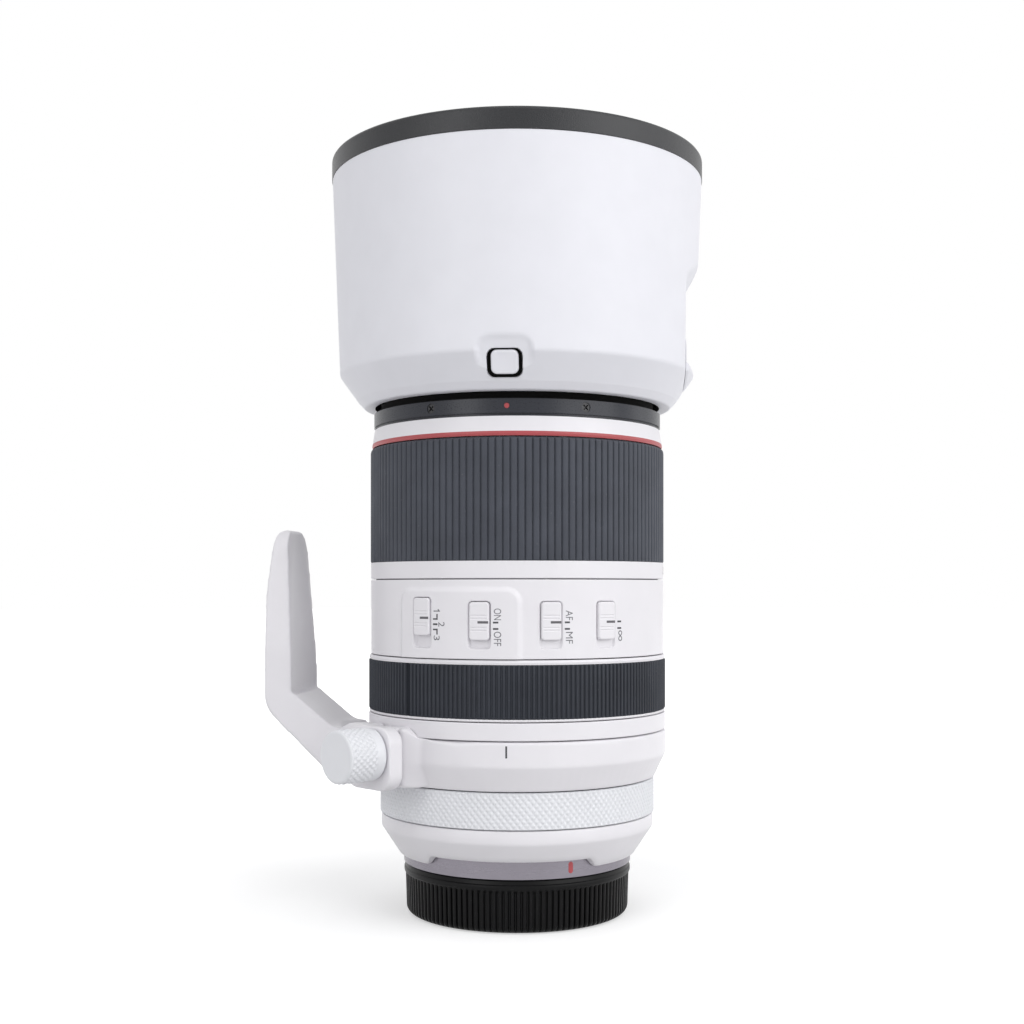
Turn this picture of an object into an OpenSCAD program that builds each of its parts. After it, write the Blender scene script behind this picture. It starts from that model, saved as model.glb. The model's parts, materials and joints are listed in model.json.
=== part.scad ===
// Telephoto zoom lens standing on its rear cap, front up, with hood and tripod collar fitted.
// Millimetres. +Z is the optical axis towards the front, z = 0 is the foot of the rear cap.
// Angles round the axis start at the switch side (-Y) and grow towards +X.

/* [Heights along the axis] */
// Rear cap, from its foot to the mount flange
cap_h = 15.5; // [14:0.1:18]
// Mount flange to control ring
skirt_h = 14.9; // [14:0.1:18]
// Control ring
control_h = 10.6; // [8:0.1:14]
// Tripod collar
collar_h = 14.4; // [13.5:0.1:18]
// White rear band
band_h = 5.2; // [4:0.1:8]
// Focus ring with its two beads
focus_h = 17.2; // [15:0.1:22]
// Switch shell
switch_h = 22.2; // [21:0.1:26]
// Zoom ring with its scale ring
zoom_h = 39.2; // [37:0.1:46]
// White front cover with the red ring
cover_h = 5.6; // [4.5:0.1:8]
// Black front ring
front_h = 16.7; // [16:0.1:20]

/* [Rings] */
// Radius of the switch shell
body_r = 44.35; // [43:0.05:47]
// Wall of the switch shell
shell_wall = 1.25; // [1:0.05:2]
// Focus ring and rear band stand this far proud of the switch shell
focus_proud = 0.6; // [0.2:0.05:1.2]
// Ribs round the focus grip
focus_ribs = 204; // [120:1:240]
// Ribs round the zoom grip
zoom_ribs = 135; // [90:1:180]
// Height of the white scale ring under the zoom grip
scale_h = 5; // [3:0.1:7]
// Height of the red ring
red_h = 1.25; // [0.8:0.05:2]
// Control ring set in from the switch shell
control_step = 2.75; // [2:0.05:2.9]
// Screws round the front ring
front_screw_count = 6; // [3:1:8]

/* [Zoom drive] */
// Turn of the zoom ring from short to long end
zoom_turn = 90; // [60:1:100]
// Travel of the front barrel
front_travel = 50; // [35:0.5:51]
// Travel of the variator group
variator_travel = 20; // [10:0.5:22]
// Radius of a cam follower
follower_r = 1.8; // [1.2:0.1:2]
// Wall of the cam sleeve
sleeve_wall = 1.4; // [1:0.1:1.6]
// Wall of the front tube
tube_wall = 1.6; // [1.2:0.1:1.8]
// Wall of the guide barrel
guide_wall = 2; // [1.5:0.1:2.5]

/* [Iris and optics] */
// Room between the iris opening and the guide barrel
iris_room = 16.25; // [14:0.05:18]
// Number of iris blades
blade_count = 9; // [9:1:9]
// Turn of the iris drive ring
iris_turn = 20; // [10:1:20]
// Blade turn for each degree of the drive ring
blade_ratio = 1.5; // [1:0.1:1.5]
// Thickness of a blade
blade_t = 0.2; // [0.1:0.05:0.2]
// Rim of the filter thread round the front glass
lens_rim = 1.9; // [1.5:0.1:3]
// From the filter thread out to the barrel
filter_step = 5.85; // [5.3:0.05:6.4]

/* [Switches] */
// Switch angles: mode, on-off, focus, limiter
switch_angles = [-32.5, -9.6, 16, 37.8];
// Slot width
slot_w = 6.3; // [5:0.1:7]
// Slot length
slot_h = 13.1; // [11:0.1:15]
// Extra slot length of the three-position switch
slot_extra = 1.1; // [0:0.1:2]
// Height of the slots' upper ends above the shell's foot
slot_top = 16.05; // [14:0.05:17]
// Length of a switch knob
slider_h = 10.5; // [8:0.1:10.8]
// Raised panel stands this far proud of the shell
panel_proud = 0.7; // [0.3:0.05:1]
// Raised panel from this angle
panel_a0 = -43.4; // [-50:0.1:-40]
// to this angle
panel_a1 = 4; // [0:0.1:6]
// Height of the raised panel
panel_h = 19.6; // [18:0.1:20.5]

/* [Tripod collar] */
// Wall of the collar
collar_wall = 4.5; // [4:0.1:6]
// Angle of the foot
foot_angle = -94; // [-100:1:-90]
// Width of the foot
foot_w = 28; // [24:0.5:32]
// Distance of the foot's outer face from the axis
foot_reach = 75.4; // [72:0.1:82]
// Thickness of the foot
foot_t = 8.6; // [8:0.1:11]
// Front end of the foot above the collar's lower face
foot_rise = 74.5; // [60:0.5:80]
// How much each side of the foot narrows to its front end
foot_taper = 4; // [0:0.5:5]
// Radius of the tripod thread
thread_r = 3.175; // [3.175:0.001:3.175]
// Angle of the clamp knob
knob_angle = -42; // [-44:0.5:-40]
// Radius of the clamp knob
knob_r = 7.5; // [6:0.1:8]
// Length of the clamp knob
knob_len = 12; // [9:0.1:14]
// Angle of the collar hinge
hinge_angle = 126; // [124:0.5:130]

/* [Hood] */
// Hood length
hood_len = 74.05; // [70:0.05:85]
// Hood overlaps the lens front by
hood_overlap = 9.9; // [9.5:0.05:10.5]
// How much the hood widens from its rear corner to its rim
hood_flare = 2.2; // [0.5:0.1:4]
// How far the hood stands out past the barrel
hood_proud = 11.45; // [10:0.05:15]
// Hood wall
hood_wall = 2.3; // [2:0.1:3]
// Height of the black front rim
rim_h = 6.25; // [5:0.05:9]
// Button width
button_w = 7.5; // [5:0.1:8]
// Button height
button_h = 7; // [5:0.1:7.5]
// Gap round the button
button_gap = 1; // [0.5:0.05:1.2]
// How far the button sits below the middle of its pad
button_low = 0.85; // [0:0.05:1]
// Width of the filter window's door
window_w = 34; // [28:0.5:36]
// Height of the window behind the door
window_h = 6.5; // [4:0.1:7]

/* [Mount and rear cap] */
// Radius of the mount ring
mount_r = 34.4; // [33:0.1:35]
// Radius of the bayonet tube
bayonet_r = 25.5; // [24:0.1:26]
// Ribs round the rear cap
cap_ribs = 120; // [80:1:150]
// Wall of the rear cap
cap_wall = 3.4; // [2.5:0.1:4]

/* [Clearances] */
// Radial gap between nested tubes that move
run = 0.35; // [0.35:0.05:0.45]
// Axial gap between neighbouring rings
gap = 0.3; // [0.3:0.05:0.4]

/* [Hidden] */
$fn = 180;
z_flange = cap_h;
z_control = z_flange + skirt_h;
z_collar = z_control + control_h;
z_band = z_collar + collar_h;
z_focus = z_band + band_h;
z_switch = z_focus + focus_h;
z_zoom = z_switch + switch_h;
z_cover = z_zoom + zoom_h;
z_front = z_cover + cover_h;
z_end = z_front + front_h;
z_hood = z_end - hood_overlap;
z_rim = z_hood + hood_len - rim_h;
half = gap / 2;

shell_in = body_r - shell_wall;
sleeve_out = shell_in - run;
sleeve_in = sleeve_out - sleeve_wall;
tube_out = sleeve_in - run;
tube_in = tube_out - tube_wall;
guide_out = tube_in - run;
guide_in = guide_out - guide_wall;
cell_r = guide_in - run;
frame_out = guide_out + 1.05;
iris_open_r = guide_in - iris_room;
filter_r = body_r - filter_step;
front_lens_r = filter_r - lens_rim;
seat_r = filter_r - lens_rim / 2;
hood_front_r = body_r + hood_proud;
hood_rear_r = hood_front_r - hood_flare;
rear_out = (mount_r + bayonet_r) / 2 - 5.95;
rear_r = rear_out - 3.2;
focus_lens_r = guide_in - 19.05;
stab_r = guide_in - 20.05;
vari_r = cell_r - 11.7;
rod_r = guide_in - 8.55;
motor_in = guide_in - 5.65;
neck_out = frame_out + 2.2;
focus_r = body_r + focus_proud;
control_r = body_r - control_step;
skirt_r = control_r - 0.4;
cover_r = body_r - 0.45;
front_r = body_r - 0.95;
collar_in = frame_out + 0.45;
collar_r = collar_in + collar_wall;

z_plate = z_control - 4.2;
plate_t = 2.3;
z_sleeve = z_switch + 1.5;
z_tube = z_sleeve + 1.2;
z_follow = z_tube + 2.5;
z_vari = z_sleeve + 10.7;
z_guide_top = z_cover - 2.2;
slot_clear = 0.4;
vari_a = 70;

z_stab = z_focus + 1.4;
z_iris = z_stab + 11;
level = 0.36;
z_drive = z_iris + 1 + blade_count * level + 0.55;
pivot_r = iris_open_r + 10.7;
drive_r = pivot_r + 1;
drive_a = 5;
blade_span = 62;

slot_mid = z_switch + slot_top - slot_h / 2;
slider_w = slot_w - 0.7;
slot_floor = shell_in + 0.4;

neck_r = filter_r + 2.7;
lip_r = neck_r + 1.4;
hood_bore = lip_r + 0.5;
z_lug = z_hood + 1;
lug_h = 3.2;
z_lip = z_lug + lug_h + 0.4;
z_corner = z_hood + 9.6;
pad_tilt = 20.4;
window_d = hood_rear_r - 3.4;
z_window = z_hood + 11.5;
z_ramp = z_window + 2 * window_h + 8.7;

z_knob = z_collar + 10.5;
boss_r = collar_r + 5.5;
boss_drop = 0.8;
plate_r0 = boss_r + 1.1;
plate_r1 = plate_r0 + 4.6;
plate_h = 17.7;
hinge_r = collar_r + 2.2;
pin_r = 1.5;
z_foot = z_collar + 0.2;
z_thread = z_foot + 47;

// Shared shapes

function unit(v) = v / norm(v);
function xy(p) = [p[0], p[1]];
// A corner of an outline, rounded to radius r with n steps
function corner(a, p, b, r, n) =
    let (u = unit(a - p), v = unit(b - p), h = acos(u * v) / 2, c = p + unit(u + v) * r / sin(h),
         s = p + u * r / tan(h) - c, e = p + v * r / tan(h) - c, a0 = atan2(s[1], s[0]),
         turn = (atan2(e[1], e[0]) - a0 + 540) % 360 - 180)
    r <= 0 ? [p] : [for (i = [0:n]) c + r * [cos(a0 + turn * i / n), sin(a0 + turn * i / n)]];
// An outline whose points carry their corner radius as a third value
function rounded(pts, n = 6) = let (m = len(pts))
    [for (i = [0:m - 1])
        each corner(xy(pts[(i + m - 1) % m]), xy(pts[i]), xy(pts[(i + 1) % m]), pts[i][2], n)];
// Outline of a ribbed grip
function ribs(n, r_top, r_root, land, flank) =
    [for (i = [0:n - 1]) for (k = [0:3])
        let (a = 360 / n * (i + [-land / 2 - flank, -land / 2, land / 2, land / 2 + flank][k]),
             r = (k == 0 || k == 3) ? r_root : r_top)
        r * [cos(a), sin(a)]];

module ring(r0, r1, z0, z1) rotate_extrude() translate([r0, z0]) square([r1 - r0, z1 - z0]);
module disc(r, z0, z1) translate([0, 0, z0]) cylinder(r = r, h = z1 - z0);
module turned(pts) rotate_extrude() polygon(pts);
module band(r0, r1, z0, z1, a0, a1)
    rotate([0, 0, a0 - 90]) rotate_extrude(angle = a1 - a0)
    translate([r0, z0]) square([r1 - r0, z1 - z0]);
// Children stand on the cylinder of radius r at angle a: X round the ring, Y up, Z outwards
module radial(a, r, z) rotate([0, 0, a]) translate([0, -r, z]) rotate([90, 0, 0]) children();
module rrect(w, h, r) {
    square([w - 2 * r, h], center = true);
    square([w, h - 2 * r], center = true);
    for (x = [-1, 1], y = [-1, 1]) translate([x * (w / 2 - r), y * (h / 2 - r)]) circle(r);
}
// Lens bulging at its front face and dished at its rear face
module lens(r, z0, z1, bulge, dish) {
    rf = (r * r + bulge * bulge) / (2 * bulge);
    rb = (r * r + dish * dish) / (2 * dish);
    n = 12;
    turned(concat([for (i = [0:n]) let (x = r * i / n) [x, z0 + dish - rb + sqrt(rb * rb - x * x)]],
        [for (i = [n:-1:0]) let (x = r * i / n) [x, z1 - rf + sqrt(rf * rf - x * x)]]));
}
// Slanted slot through a tube: it climbs by rise while it runs back by turn, wide is half its width
module cam_slot(a, r0, r1, z, turn, rise, wide) {
    over = wide;
    tall = rise + 2 * over;
    pitch = rise / (turn * PI / 180 * r1);
    half_w = wide * sqrt(1 + pitch * pitch) / pitch;
    translate([0, 0, z - over]) rotate([0, 0, a + turn * over / rise])
        linear_extrude(tall, twist = turn * tall / rise, slices = 20, $fn = 4)
        translate([-half_w, -r1]) square([2 * half_w, r1 - r0]);
}

// Rear end

module mount_ring() color("silver") difference() {
    union() {
        turned([[bayonet_r - 2.9, z_flange - 7], [bayonet_r, z_flange - 7], [bayonet_r, z_flange],
            [mount_r, z_flange], [mount_r, z_plate], [mount_r - 3, z_plate],
            [mount_r - 3, z_flange + 3], [bayonet_r - 2.9, z_flange + 3]]);
        for (a = [30, 150, 270])
            band(bayonet_r - 0.5, bayonet_r + 1.5, z_flange - 5.5, z_flange - 3.7, a - 24, a + 24);
    }
    for (a = [0, 90, 180, 270]) rotate([0, 0, a + 75]) translate([0, -(mount_r - 3.4), 0]) {
        disc(1.6, z_flange - 1, z_flange + 1.2);
        disc(0.95, z_flange, z_flange + 4);
    }
}
module mount_screws() color("gray") for (a = [0, 90, 180, 270])
    rotate([0, 0, a + 75]) translate([0, -(mount_r - 3.4), 0]) difference() {
        union() {
            disc(1.5, z_flange + 0.1, z_flange + 1.2);
            disc(0.9, z_flange + 1, z_flange + 3.9);
        }
        for (t = [0, 90]) translate([0, 0, z_flange + 0.3]) rotate([0, 0, t])
            cube([2, 0.4, 0.9], center = true);
    }
module contact_block() color("black") {
    band(bayonet_r - 5.3, bayonet_r - 2.9, z_flange - 6, z_flange, 150, 210);
    for (i = [0:11]) rotate([0, 0, 153 + 4.9 * i]) translate([0, 4.1 - bayonet_r, 0])
        disc(0.5, z_flange - 6.6, z_flange - 5);
}
module main_board() color("green") ring(rear_out, mount_r - 3.2, z_flange + 4.6, z_flange + 6);
module rear_skirt() color("white") {
    low = z_flange + 2.5;
    lift = 2.9;
    difference() {
        turned([[mount_r + 0.1, low], [mount_r + 1.2, low],
            [skirt_r - 0.15, z_plate], [skirt_r, z_plate + 0.4],
            [skirt_r, z_control - half], [frame_out, z_control - half], [frame_out, z_plate],
            [mount_r + 0.1, low + 0.8]]);
        translate([0, -20, 0]) rotate([90, 0, 0]) linear_extrude(30)
            polygon([[9.8 - mount_r, low - 1], [13 - mount_r, low + lift], [mount_r - 13, low + lift],
                [mount_r - 9.8, low - 1]]);
    }
}
module rear_barrel() color("dimgray") turned([[rear_out, z_plate], [frame_out, z_plate],
    [frame_out, z_focus - half], [guide_out, z_focus - half], [guide_out, z_plate + plate_t],
    [rear_out, z_plate + plate_t]]);
module guide_barrel() color("gray") difference() {
    ring(guide_in, guide_out, z_plate + plate_t, z_guide_top);
    for (i = [0:2]) {
        radial(i * 120, guide_in - 1, z_follow + front_travel / 2) linear_extrude(5)
            rrect(2 * follower_r + 0.7, front_travel + 2 * follower_r + 1, follower_r);
        radial(i * 120 + vari_a, guide_in - 1, z_vari + variator_travel / 2) linear_extrude(5)
            rrect(2 * follower_r + 0.7, variator_travel + 2 * follower_r + 1, follower_r);
    }
}
module rear_band() color("white") turned(rounded([
    [frame_out, z_band + half, 0], [focus_r, z_band + half, 0.3],
    [focus_r, z_focus - half, 0.3], [frame_out, z_focus - half, 0]], 3));
module rear_cell() color("dimgray") {
    ring(rear_r, rear_out, z_plate - 6.5, z_plate + 10);
    ring(rear_out - 0.5, rod_r + 1.5, z_plate + plate_t, z_plate + plate_t + 2);
}
module rear_elements() color("lightblue") {
    lens(rear_r, z_plate - 5.5, z_plate - 0.5, 2.2, 1.6);
    lens(rear_r, z_plate + 1, z_plate + 8, 3, 1.2);
}

// Focus group, stabilizer and iris

module focus_rods() color("silver") for (a = [0, 180])
    rotate([0, 0, a + 90]) translate([0, -rod_r, 0]) disc(1.2, z_plate + plate_t + 2, z_stab);
module focus_cell() color("dimgray") difference() {
    z0 = z_plate + 12;
    union() {
        ring(focus_lens_r, focus_lens_r + 8, z0, z0 + 7);
        ring(focus_lens_r + 7.5, motor_in - 0.4, z0, z0 + 3);
        for (a = [0, 180]) rotate([0, 0, a]) translate([-3, -motor_in - 1.6, z0]) cube([6, 4, 3]);
    }
    for (a = [0, 180]) rotate([0, 0, a + 90]) translate([0, -rod_r, 0]) disc(1.28, z0 - 1, z0 + 4);
}
module focus_element() color("lightblue") lens(focus_lens_r, z_plate + 13, z_plate + 17.5, 1.4, 1.2);
module focus_motors() color("goldenrod") for (a = [0, 180]) intersection() {
    rotate([0, 0, a]) for (s = [-1, 1]) translate([s * 6.2 - 2.2, -guide_in - 1, z_plate + plate_t + 1])
        cube([4.4, guide_in - motor_in, z_stab - z_plate - plate_t - 7.5]);
    disc(guide_in, 0, z_end);
}
module stabilizer_base() color("dimgray") difference() {
    union() {
        ring(stab_r + 2.5, guide_in, z_stab, z_stab + 3);
        ring(guide_in - 2.5, guide_in, z_stab, z_stab + 9);
    }
    for (a = [0, 180]) rotate([0, 0, a + 90]) translate([0, -rod_r, 0]) disc(0.6, z_stab - 1, z_stab + 4);
}
module stabilizer_frame() color("black") difference() {
    ring(stab_r, stab_r + 14, z_stab + 3.35, z_stab + 8.4);
    for (i = [0:2]) rotate([0, 0, 60 + 120 * i]) translate([0, -stab_r - 10, 0])
        disc(2.2, z_stab + 5, z_stab + 9);
}
module stabilizer_element() color("lightblue") lens(stab_r, z_stab + 3.8, z_stab + 8, 1.6, 0.8);
module iris_base() color("black") {
    ring(iris_open_r - 0.8, guide_in, z_iris, z_iris + 0.8);
    ring(guide_in - 2, guide_in, z_iris, z_drive + 1);
    for (i = [1:blade_count]) rotate([0, 0, 40 * i]) translate([0, -pivot_r, 0])
        disc(0.55, z_iris + 0.5, z_iris + 1 + i * level + blade_t + 0.1);
}
// Where blade i's drive pin stands in its own frame after the blade has turned by t
function pin_at(t) = let (p = drive_r * [sin(drive_a), -cos(drive_a)], o = [0, -pivot_r], d = p - o)
    o + [d[0] * cos(t) - d[1] * sin(t), d[0] * sin(t) + d[1] * cos(t)];
function turn_back(p, t) = [p[0] * cos(t) + p[1] * sin(t), -p[0] * sin(t) + p[1] * cos(t)];
module iris_drive_ring() color("gray") {
    steps = 12;
    path = [for (i = [-1:steps + 1]) let (t = iris_turn * i / steps) turn_back(pin_at(blade_ratio * t), t)];
    wide = 0.95;
    sides = [for (i = [0:steps + 2]) let (d = unit(path[min(i + 1, steps + 2)] - path[max(i - 1, 0)]))
        wide * [-d[1], d[0]]];
    outline = concat([for (i = [0:steps + 2]) path[i] + sides[i]],
        [for (i = [steps + 2:-1:0]) path[i] - sides[i]]);
    difference() {
        ring(iris_open_r + 7, guide_in - 2.4, z_drive, z_drive + 0.9);
        for (i = [1:blade_count]) rotate([0, 0, 40 * i]) translate([0, 0, z_drive - 1])
            linear_extrude(3) polygon(outline);
    }
}
module iris_blade(i) color("black") rotate([0, 0, 40 * i]) {
    z0 = z_iris + 1 + i * level;
    difference() {
        union() {
            band(iris_open_r, iris_open_r + 8, z0, z0 + blade_t, 0, blade_span);
            band(iris_open_r + 6, pivot_r + 2, z0, z0 + blade_t, -2.5, 8);
        }
        translate([0, -pivot_r, 0]) disc(0.63, z0 - 1, z0 + 1);
    }
    translate(drive_r * [sin(drive_a), -cos(drive_a), 0]) disc(0.5, z0, z_drive + 0.8);
}
module iris_blade_1() iris_blade(1);
module iris_blade_2() iris_blade(2);
module iris_blade_3() iris_blade(3);
module iris_blade_4() iris_blade(4);
module iris_blade_5() iris_blade(5);
module iris_blade_6() iris_blade(6);
module iris_blade_7() iris_blade(7);
module iris_blade_8() iris_blade(8);
module iris_blade_9() iris_blade(9);

// Control ring, focus ring and switches

module control_ring() color("white") turned(rounded([[frame_out + run, z_control + half, 0],
    [control_r, z_control + half, 0.3], [control_r, z_collar - half, 0.3],
    [frame_out + run, z_collar - half, 0]], 3));
module focus_sleeve() color("white") {
    z0 = z_focus + half;
    z1 = z_switch - half;
    inner = neck_out + run;
    turned([[inner, z0], [focus_r - 0.3, z0], [focus_r - 0.1, z0 + 0.3], [focus_r - 0.3, z0 + 0.65],
        [inner + 0.9, z0 + 0.65], [inner + 0.9, z1 - 1.25], [focus_r - 0.3, z1 - 1.25],
        [focus_r - 0.15, z1 - 0.6], [focus_r - 0.4, z1], [inner, z1]]);
}
module focus_grip() color("black") {
    z0 = z_focus + half + 0.65;
    z1 = z_switch - half - 1.25;
    inner = neck_out + run + 0.9;
    difference() {
        translate([0, 0, z0]) linear_extrude(z1 - z0)
            polygon(ribs(focus_ribs, focus_r, focus_r - 0.35, 0.5, 0.1));
        disc(inner, z0 - 1, z1 + 1);
        radial(-40, focus_r - 0.3, (z0 + z1) / 2) linear_extrude(2)
            square([0.5, z1 - z0 + 1], center = true);
    }
}
module switch_slot(i) {
    tall = slot_h + (i == 0 ? slot_extra : 0);
    radial(switch_angles[i], slot_floor, slot_mid + (tall - slot_h) / 2) {
        linear_extrude(4) rrect(slot_w, tall, 1);
        translate([0, 0, -2]) linear_extrude(4) rrect(2.2, tall - slider_h + 2.2, 1);
    }
}
// One step of the raised panel, with its upper edge sloped
module panel_step(part, tall, a0, a1, low) {
    out = body_r + panel_proud * part;
    z0 = z_switch + half + low;
    z1 = z_switch + tall;
    rotate([0, 0, a0 - 90]) rotate_extrude(angle = a1 - a0)
        polygon([[body_r - 0.6, z0], [out, z0], [out, z1 - 1], [out - 0.25, z1], [body_r - 0.6, z1]]);
}
module switch_shell() color("white") difference() {
    union() {
        turned([[frame_out + 0.5, z_focus - half], [neck_out, z_focus - half], [neck_out, z_switch + half],
            [body_r - 0.2, z_switch + half], [body_r, z_switch + half + 0.2], [body_r, z_zoom - half - 0.2],
            [body_r - 0.2, z_zoom - half], [shell_in, z_zoom - half], [shell_in, z_switch + 1.1],
            [frame_out + 0.5, z_switch + 1.1]]);
        panel_step(0.4, panel_h + 0.9, panel_a0 - 0.8, panel_a1 + 1.6, 0.45);
        panel_step(1, panel_h - 0.3, panel_a0 + 0.4, panel_a1, 0.3);
    }
    for (i = [0:3]) switch_slot(i);
}
module switch_knob(i) color("white") {
    z = slot_mid + slot_h / 2 - 0.2 - slider_h / 2 + (i == 0 ? slot_extra : 0);
    top = body_r + 0.7 + (i < 2 ? panel_proud * 0.6 : 0);
    intersection() {
        radial(switch_angles[i], 0, z) linear_extrude(top + 2) rrect(slider_w, slider_h, 0.8);
        ring(slot_floor + 0.35, top, z - slider_h, z + slider_h);
    }
    radial(switch_angles[i], shell_in + 0.05, z) cylinder(r = 0.7, h = 1.1);
}
module switch_mode() switch_knob(0);
module switch_stabilizer() switch_knob(1);
module switch_focus() switch_knob(2);
module switch_limiter() switch_knob(3);

// Zoom ring and the groups that it drives

module zoom_cam_sleeve() color("gray") difference() {
    ring(sleeve_in, sleeve_out, z_sleeve, z_cover - 0.7);
    for (i = [0:2]) {
        cam_slot(i * 120, sleeve_in - 1, sleeve_out + 1, z_follow, zoom_turn, front_travel,
            follower_r + slot_clear);
        cam_slot(i * 120 + vari_a, sleeve_in - 1, sleeve_out + 1, z_vari, zoom_turn, variator_travel,
            follower_r + slot_clear);
    }
}
module zoom_scale_ring() color("white") turned([
    [sleeve_out, z_zoom + half], [body_r - 0.2, z_zoom + half],
    [body_r, z_zoom + half + 0.2], [body_r, z_zoom + scale_h], [sleeve_out, z_zoom + scale_h]]);
module zoom_grip() color("black") {
    z0 = z_zoom + scale_h;
    z1 = z_cover - half;
    top = body_r + 0.1;
    difference() {
        intersection() {
            translate([0, 0, z0]) linear_extrude(z1 - z0)
                polygon(ribs(zoom_ribs, top, top - 0.6, 0.76, 0.06));
            turned(rounded([[0, z0, 0], [top + 0.05, z0, 0], [top + 0.05, z1 - 1.6, 0],
                [top - 0.5, z1, 0.8], [0, z1, 0]], 4));
        }
        disc(sleeve_out, z0 - 1, z1 + 1);
    }
}
module front_tube() color("gray") difference() {
    ring(tube_in, tube_out, z_tube, z_front - 0.5);
    for (i = [0:2]) {
        radial(i * 120, tube_in - 1, z_follow) cylinder(r = follower_r * 0.7, h = 4);
        rotate([0, 0, i * 120 + vari_a]) translate([-follower_r - 0.5, -tube_out - 1, z_tube - 1])
            cube([2 * follower_r + 1, 4, z_vari - z_tube + 1 + follower_r + 0.5]);
    }
}
module cam_followers() color("goldenrod") for (i = [0:2]) {
    radial(i * 120, guide_in + 0.3, z_follow) cylinder(r = follower_r, h = guide_out - guide_in);
    radial(i * 120, guide_in + 0.3, z_follow)
        cylinder(r = follower_r * 0.7, h = sleeve_out - guide_in - 0.6);
    radial(i * 120, tube_out, z_follow) cylinder(r = follower_r, h = sleeve_out - tube_out - 0.2);
}
module variator_cell() color("dimgray") {
    ring(vari_r, cell_r - 1, z_vari - 4, z_vari - 1.6);
    ring(vari_r, vari_r + 3, z_vari - 4, z_vari + 6);
    for (i = [0:2]) {
        radial(i * 120 + vari_a, vari_r + 1, z_vari)
            cylinder(r = follower_r, h = sleeve_out - vari_r - 1.2);
        rotate([0, 0, i * 120 + vari_a]) translate([-2.5, -cell_r + 1.5, z_vari - 3])
            cube([5, cell_r - vari_r - 3, 5]);
    }
}
module variator_elements() color("lightblue") {
    lens(vari_r, z_vari - 3.6, z_vari - 0.2, 1.4, 1.2);
    lens(vari_r, z_vari + 0.4, z_vari + 5.6, 2, 1.2);
}
module front_cover() color("white") turned([[tube_out, z_cover + half], [cover_r - 1, z_cover + half],
    [cover_r - 1, z_cover + half + red_h], [cover_r, z_cover + half + red_h], [cover_r - 0.7, z_front],
    [tube_out, z_front]]);
module red_ring() color("red") turned([[cover_r - 1, z_cover + half], [cover_r - 0.1, z_cover + half],
    [cover_r + 0.1, z_cover + half + red_h / 2], [cover_r, z_cover + half + red_h],
    [cover_r - 1, z_cover + half + red_h]]);
module front_ring() color("black") difference() {
    turned([[tube_in - 3, z_cover + 1], [tube_in, z_cover + 1], [tube_in, z_front - 0.5],
        [tube_out, z_front - 0.5], [tube_out, z_front], [front_r - 0.6, z_front],
        [front_r - 0.6, z_front + 0.8], [front_r, z_front + 0.8], [front_r, z_front + 4.8],
        [neck_r, z_front + 5.1], [neck_r, z_lip], [lip_r, z_lip], [lip_r, z_lip + 2.2],
        [neck_r, z_lip + 2.8], [neck_r, z_end], [filter_r, z_end], [filter_r, z_end - 2.6],
        [seat_r, z_end - 2.6], [seat_r, z_end - 5], [front_lens_r, z_end - 5], [front_lens_r, z_front + 2], [tube_in - 3, z_front + 2]]);
    for (i = [0:2])
        band(neck_r - 0.2, lip_r + 1, z_lip - 0.2, z_lip + 3, 60 + 120 * i - 19, 60 + 120 * i + 19);
    for (i = [1:front_screw_count])
        radial((i - 0.5) * 360 / front_screw_count, front_r - 1.4, z_front + 2.8)
        cylinder(r = 1.35, h = 3);
    radial(0, front_r - 0.25, z_front + 2.8) cylinder(r = 0.8, h = 3);
}
module front_screws() color("dimgray") for (i = [1:front_screw_count])
    radial((i - 0.5) * 360 / front_screw_count, front_r - 1.4, z_front + 2.8) difference() {
        cylinder(r = 1.3, h = 1.15);
        for (t = [45, 135]) translate([0, 0, 1]) rotate([0, 0, t]) cube([1.9, 0.4, 1], center = true);
    }
module front_elements() color("lightblue") {
    lens(front_lens_r, z_front + 2, z_front + 10.5, 5.2, 1.5);
    lens(tube_in - 3, z_cover + 1.2, z_front + 1.4, 1.2, 1.5);
}
module front_retainer() color("black") ring(front_lens_r - 1.2, seat_r, z_end - 5, z_end - 2.8);

// Tripod collar

module collar_half(a0, a1) rotate([0, 0, a0 - 90]) rotate_extrude(angle = a1 - a0)
    polygon([[collar_in, z_collar + half], [collar_in + 1.2, z_collar + half], [collar_r, z_collar + 7.2],
        [collar_r, z_band - half - 0.4], [collar_r - 0.4, z_band - half], [collar_in, z_band - half]]);
module knuckle(z0, z1, side) difference() {
    rotate([0, 0, hinge_angle]) {
        translate([0, -hinge_r, 0]) disc(3.3, z0, z1);
        translate([side > 0 ? 0 : -7, -hinge_r + 0.2, z0]) cube([7, hinge_r - collar_in, z1 - z0]);
    }
    rotate([0, 0, hinge_angle]) translate([0, -hinge_r, 0]) disc(pin_r + 0.05, z0 - 1, z1 + 1);
    disc(collar_in + 0.3, z0 - 1, z1 + 1);
}
// The collar's outer surface, filled to the axis
module collar_core() turned([
    [0, z_collar - 5], [collar_in + 1.2, z_collar - 5], [collar_in + 1.2, z_collar + half],
    [collar_r, z_collar + 7.2], [collar_r, z_end], [0, z_end]]);
// Clamp plate seen along the knob's axis
module plate_face() translate([-2, 0]) rrect(20, plate_h, 5);
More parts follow.
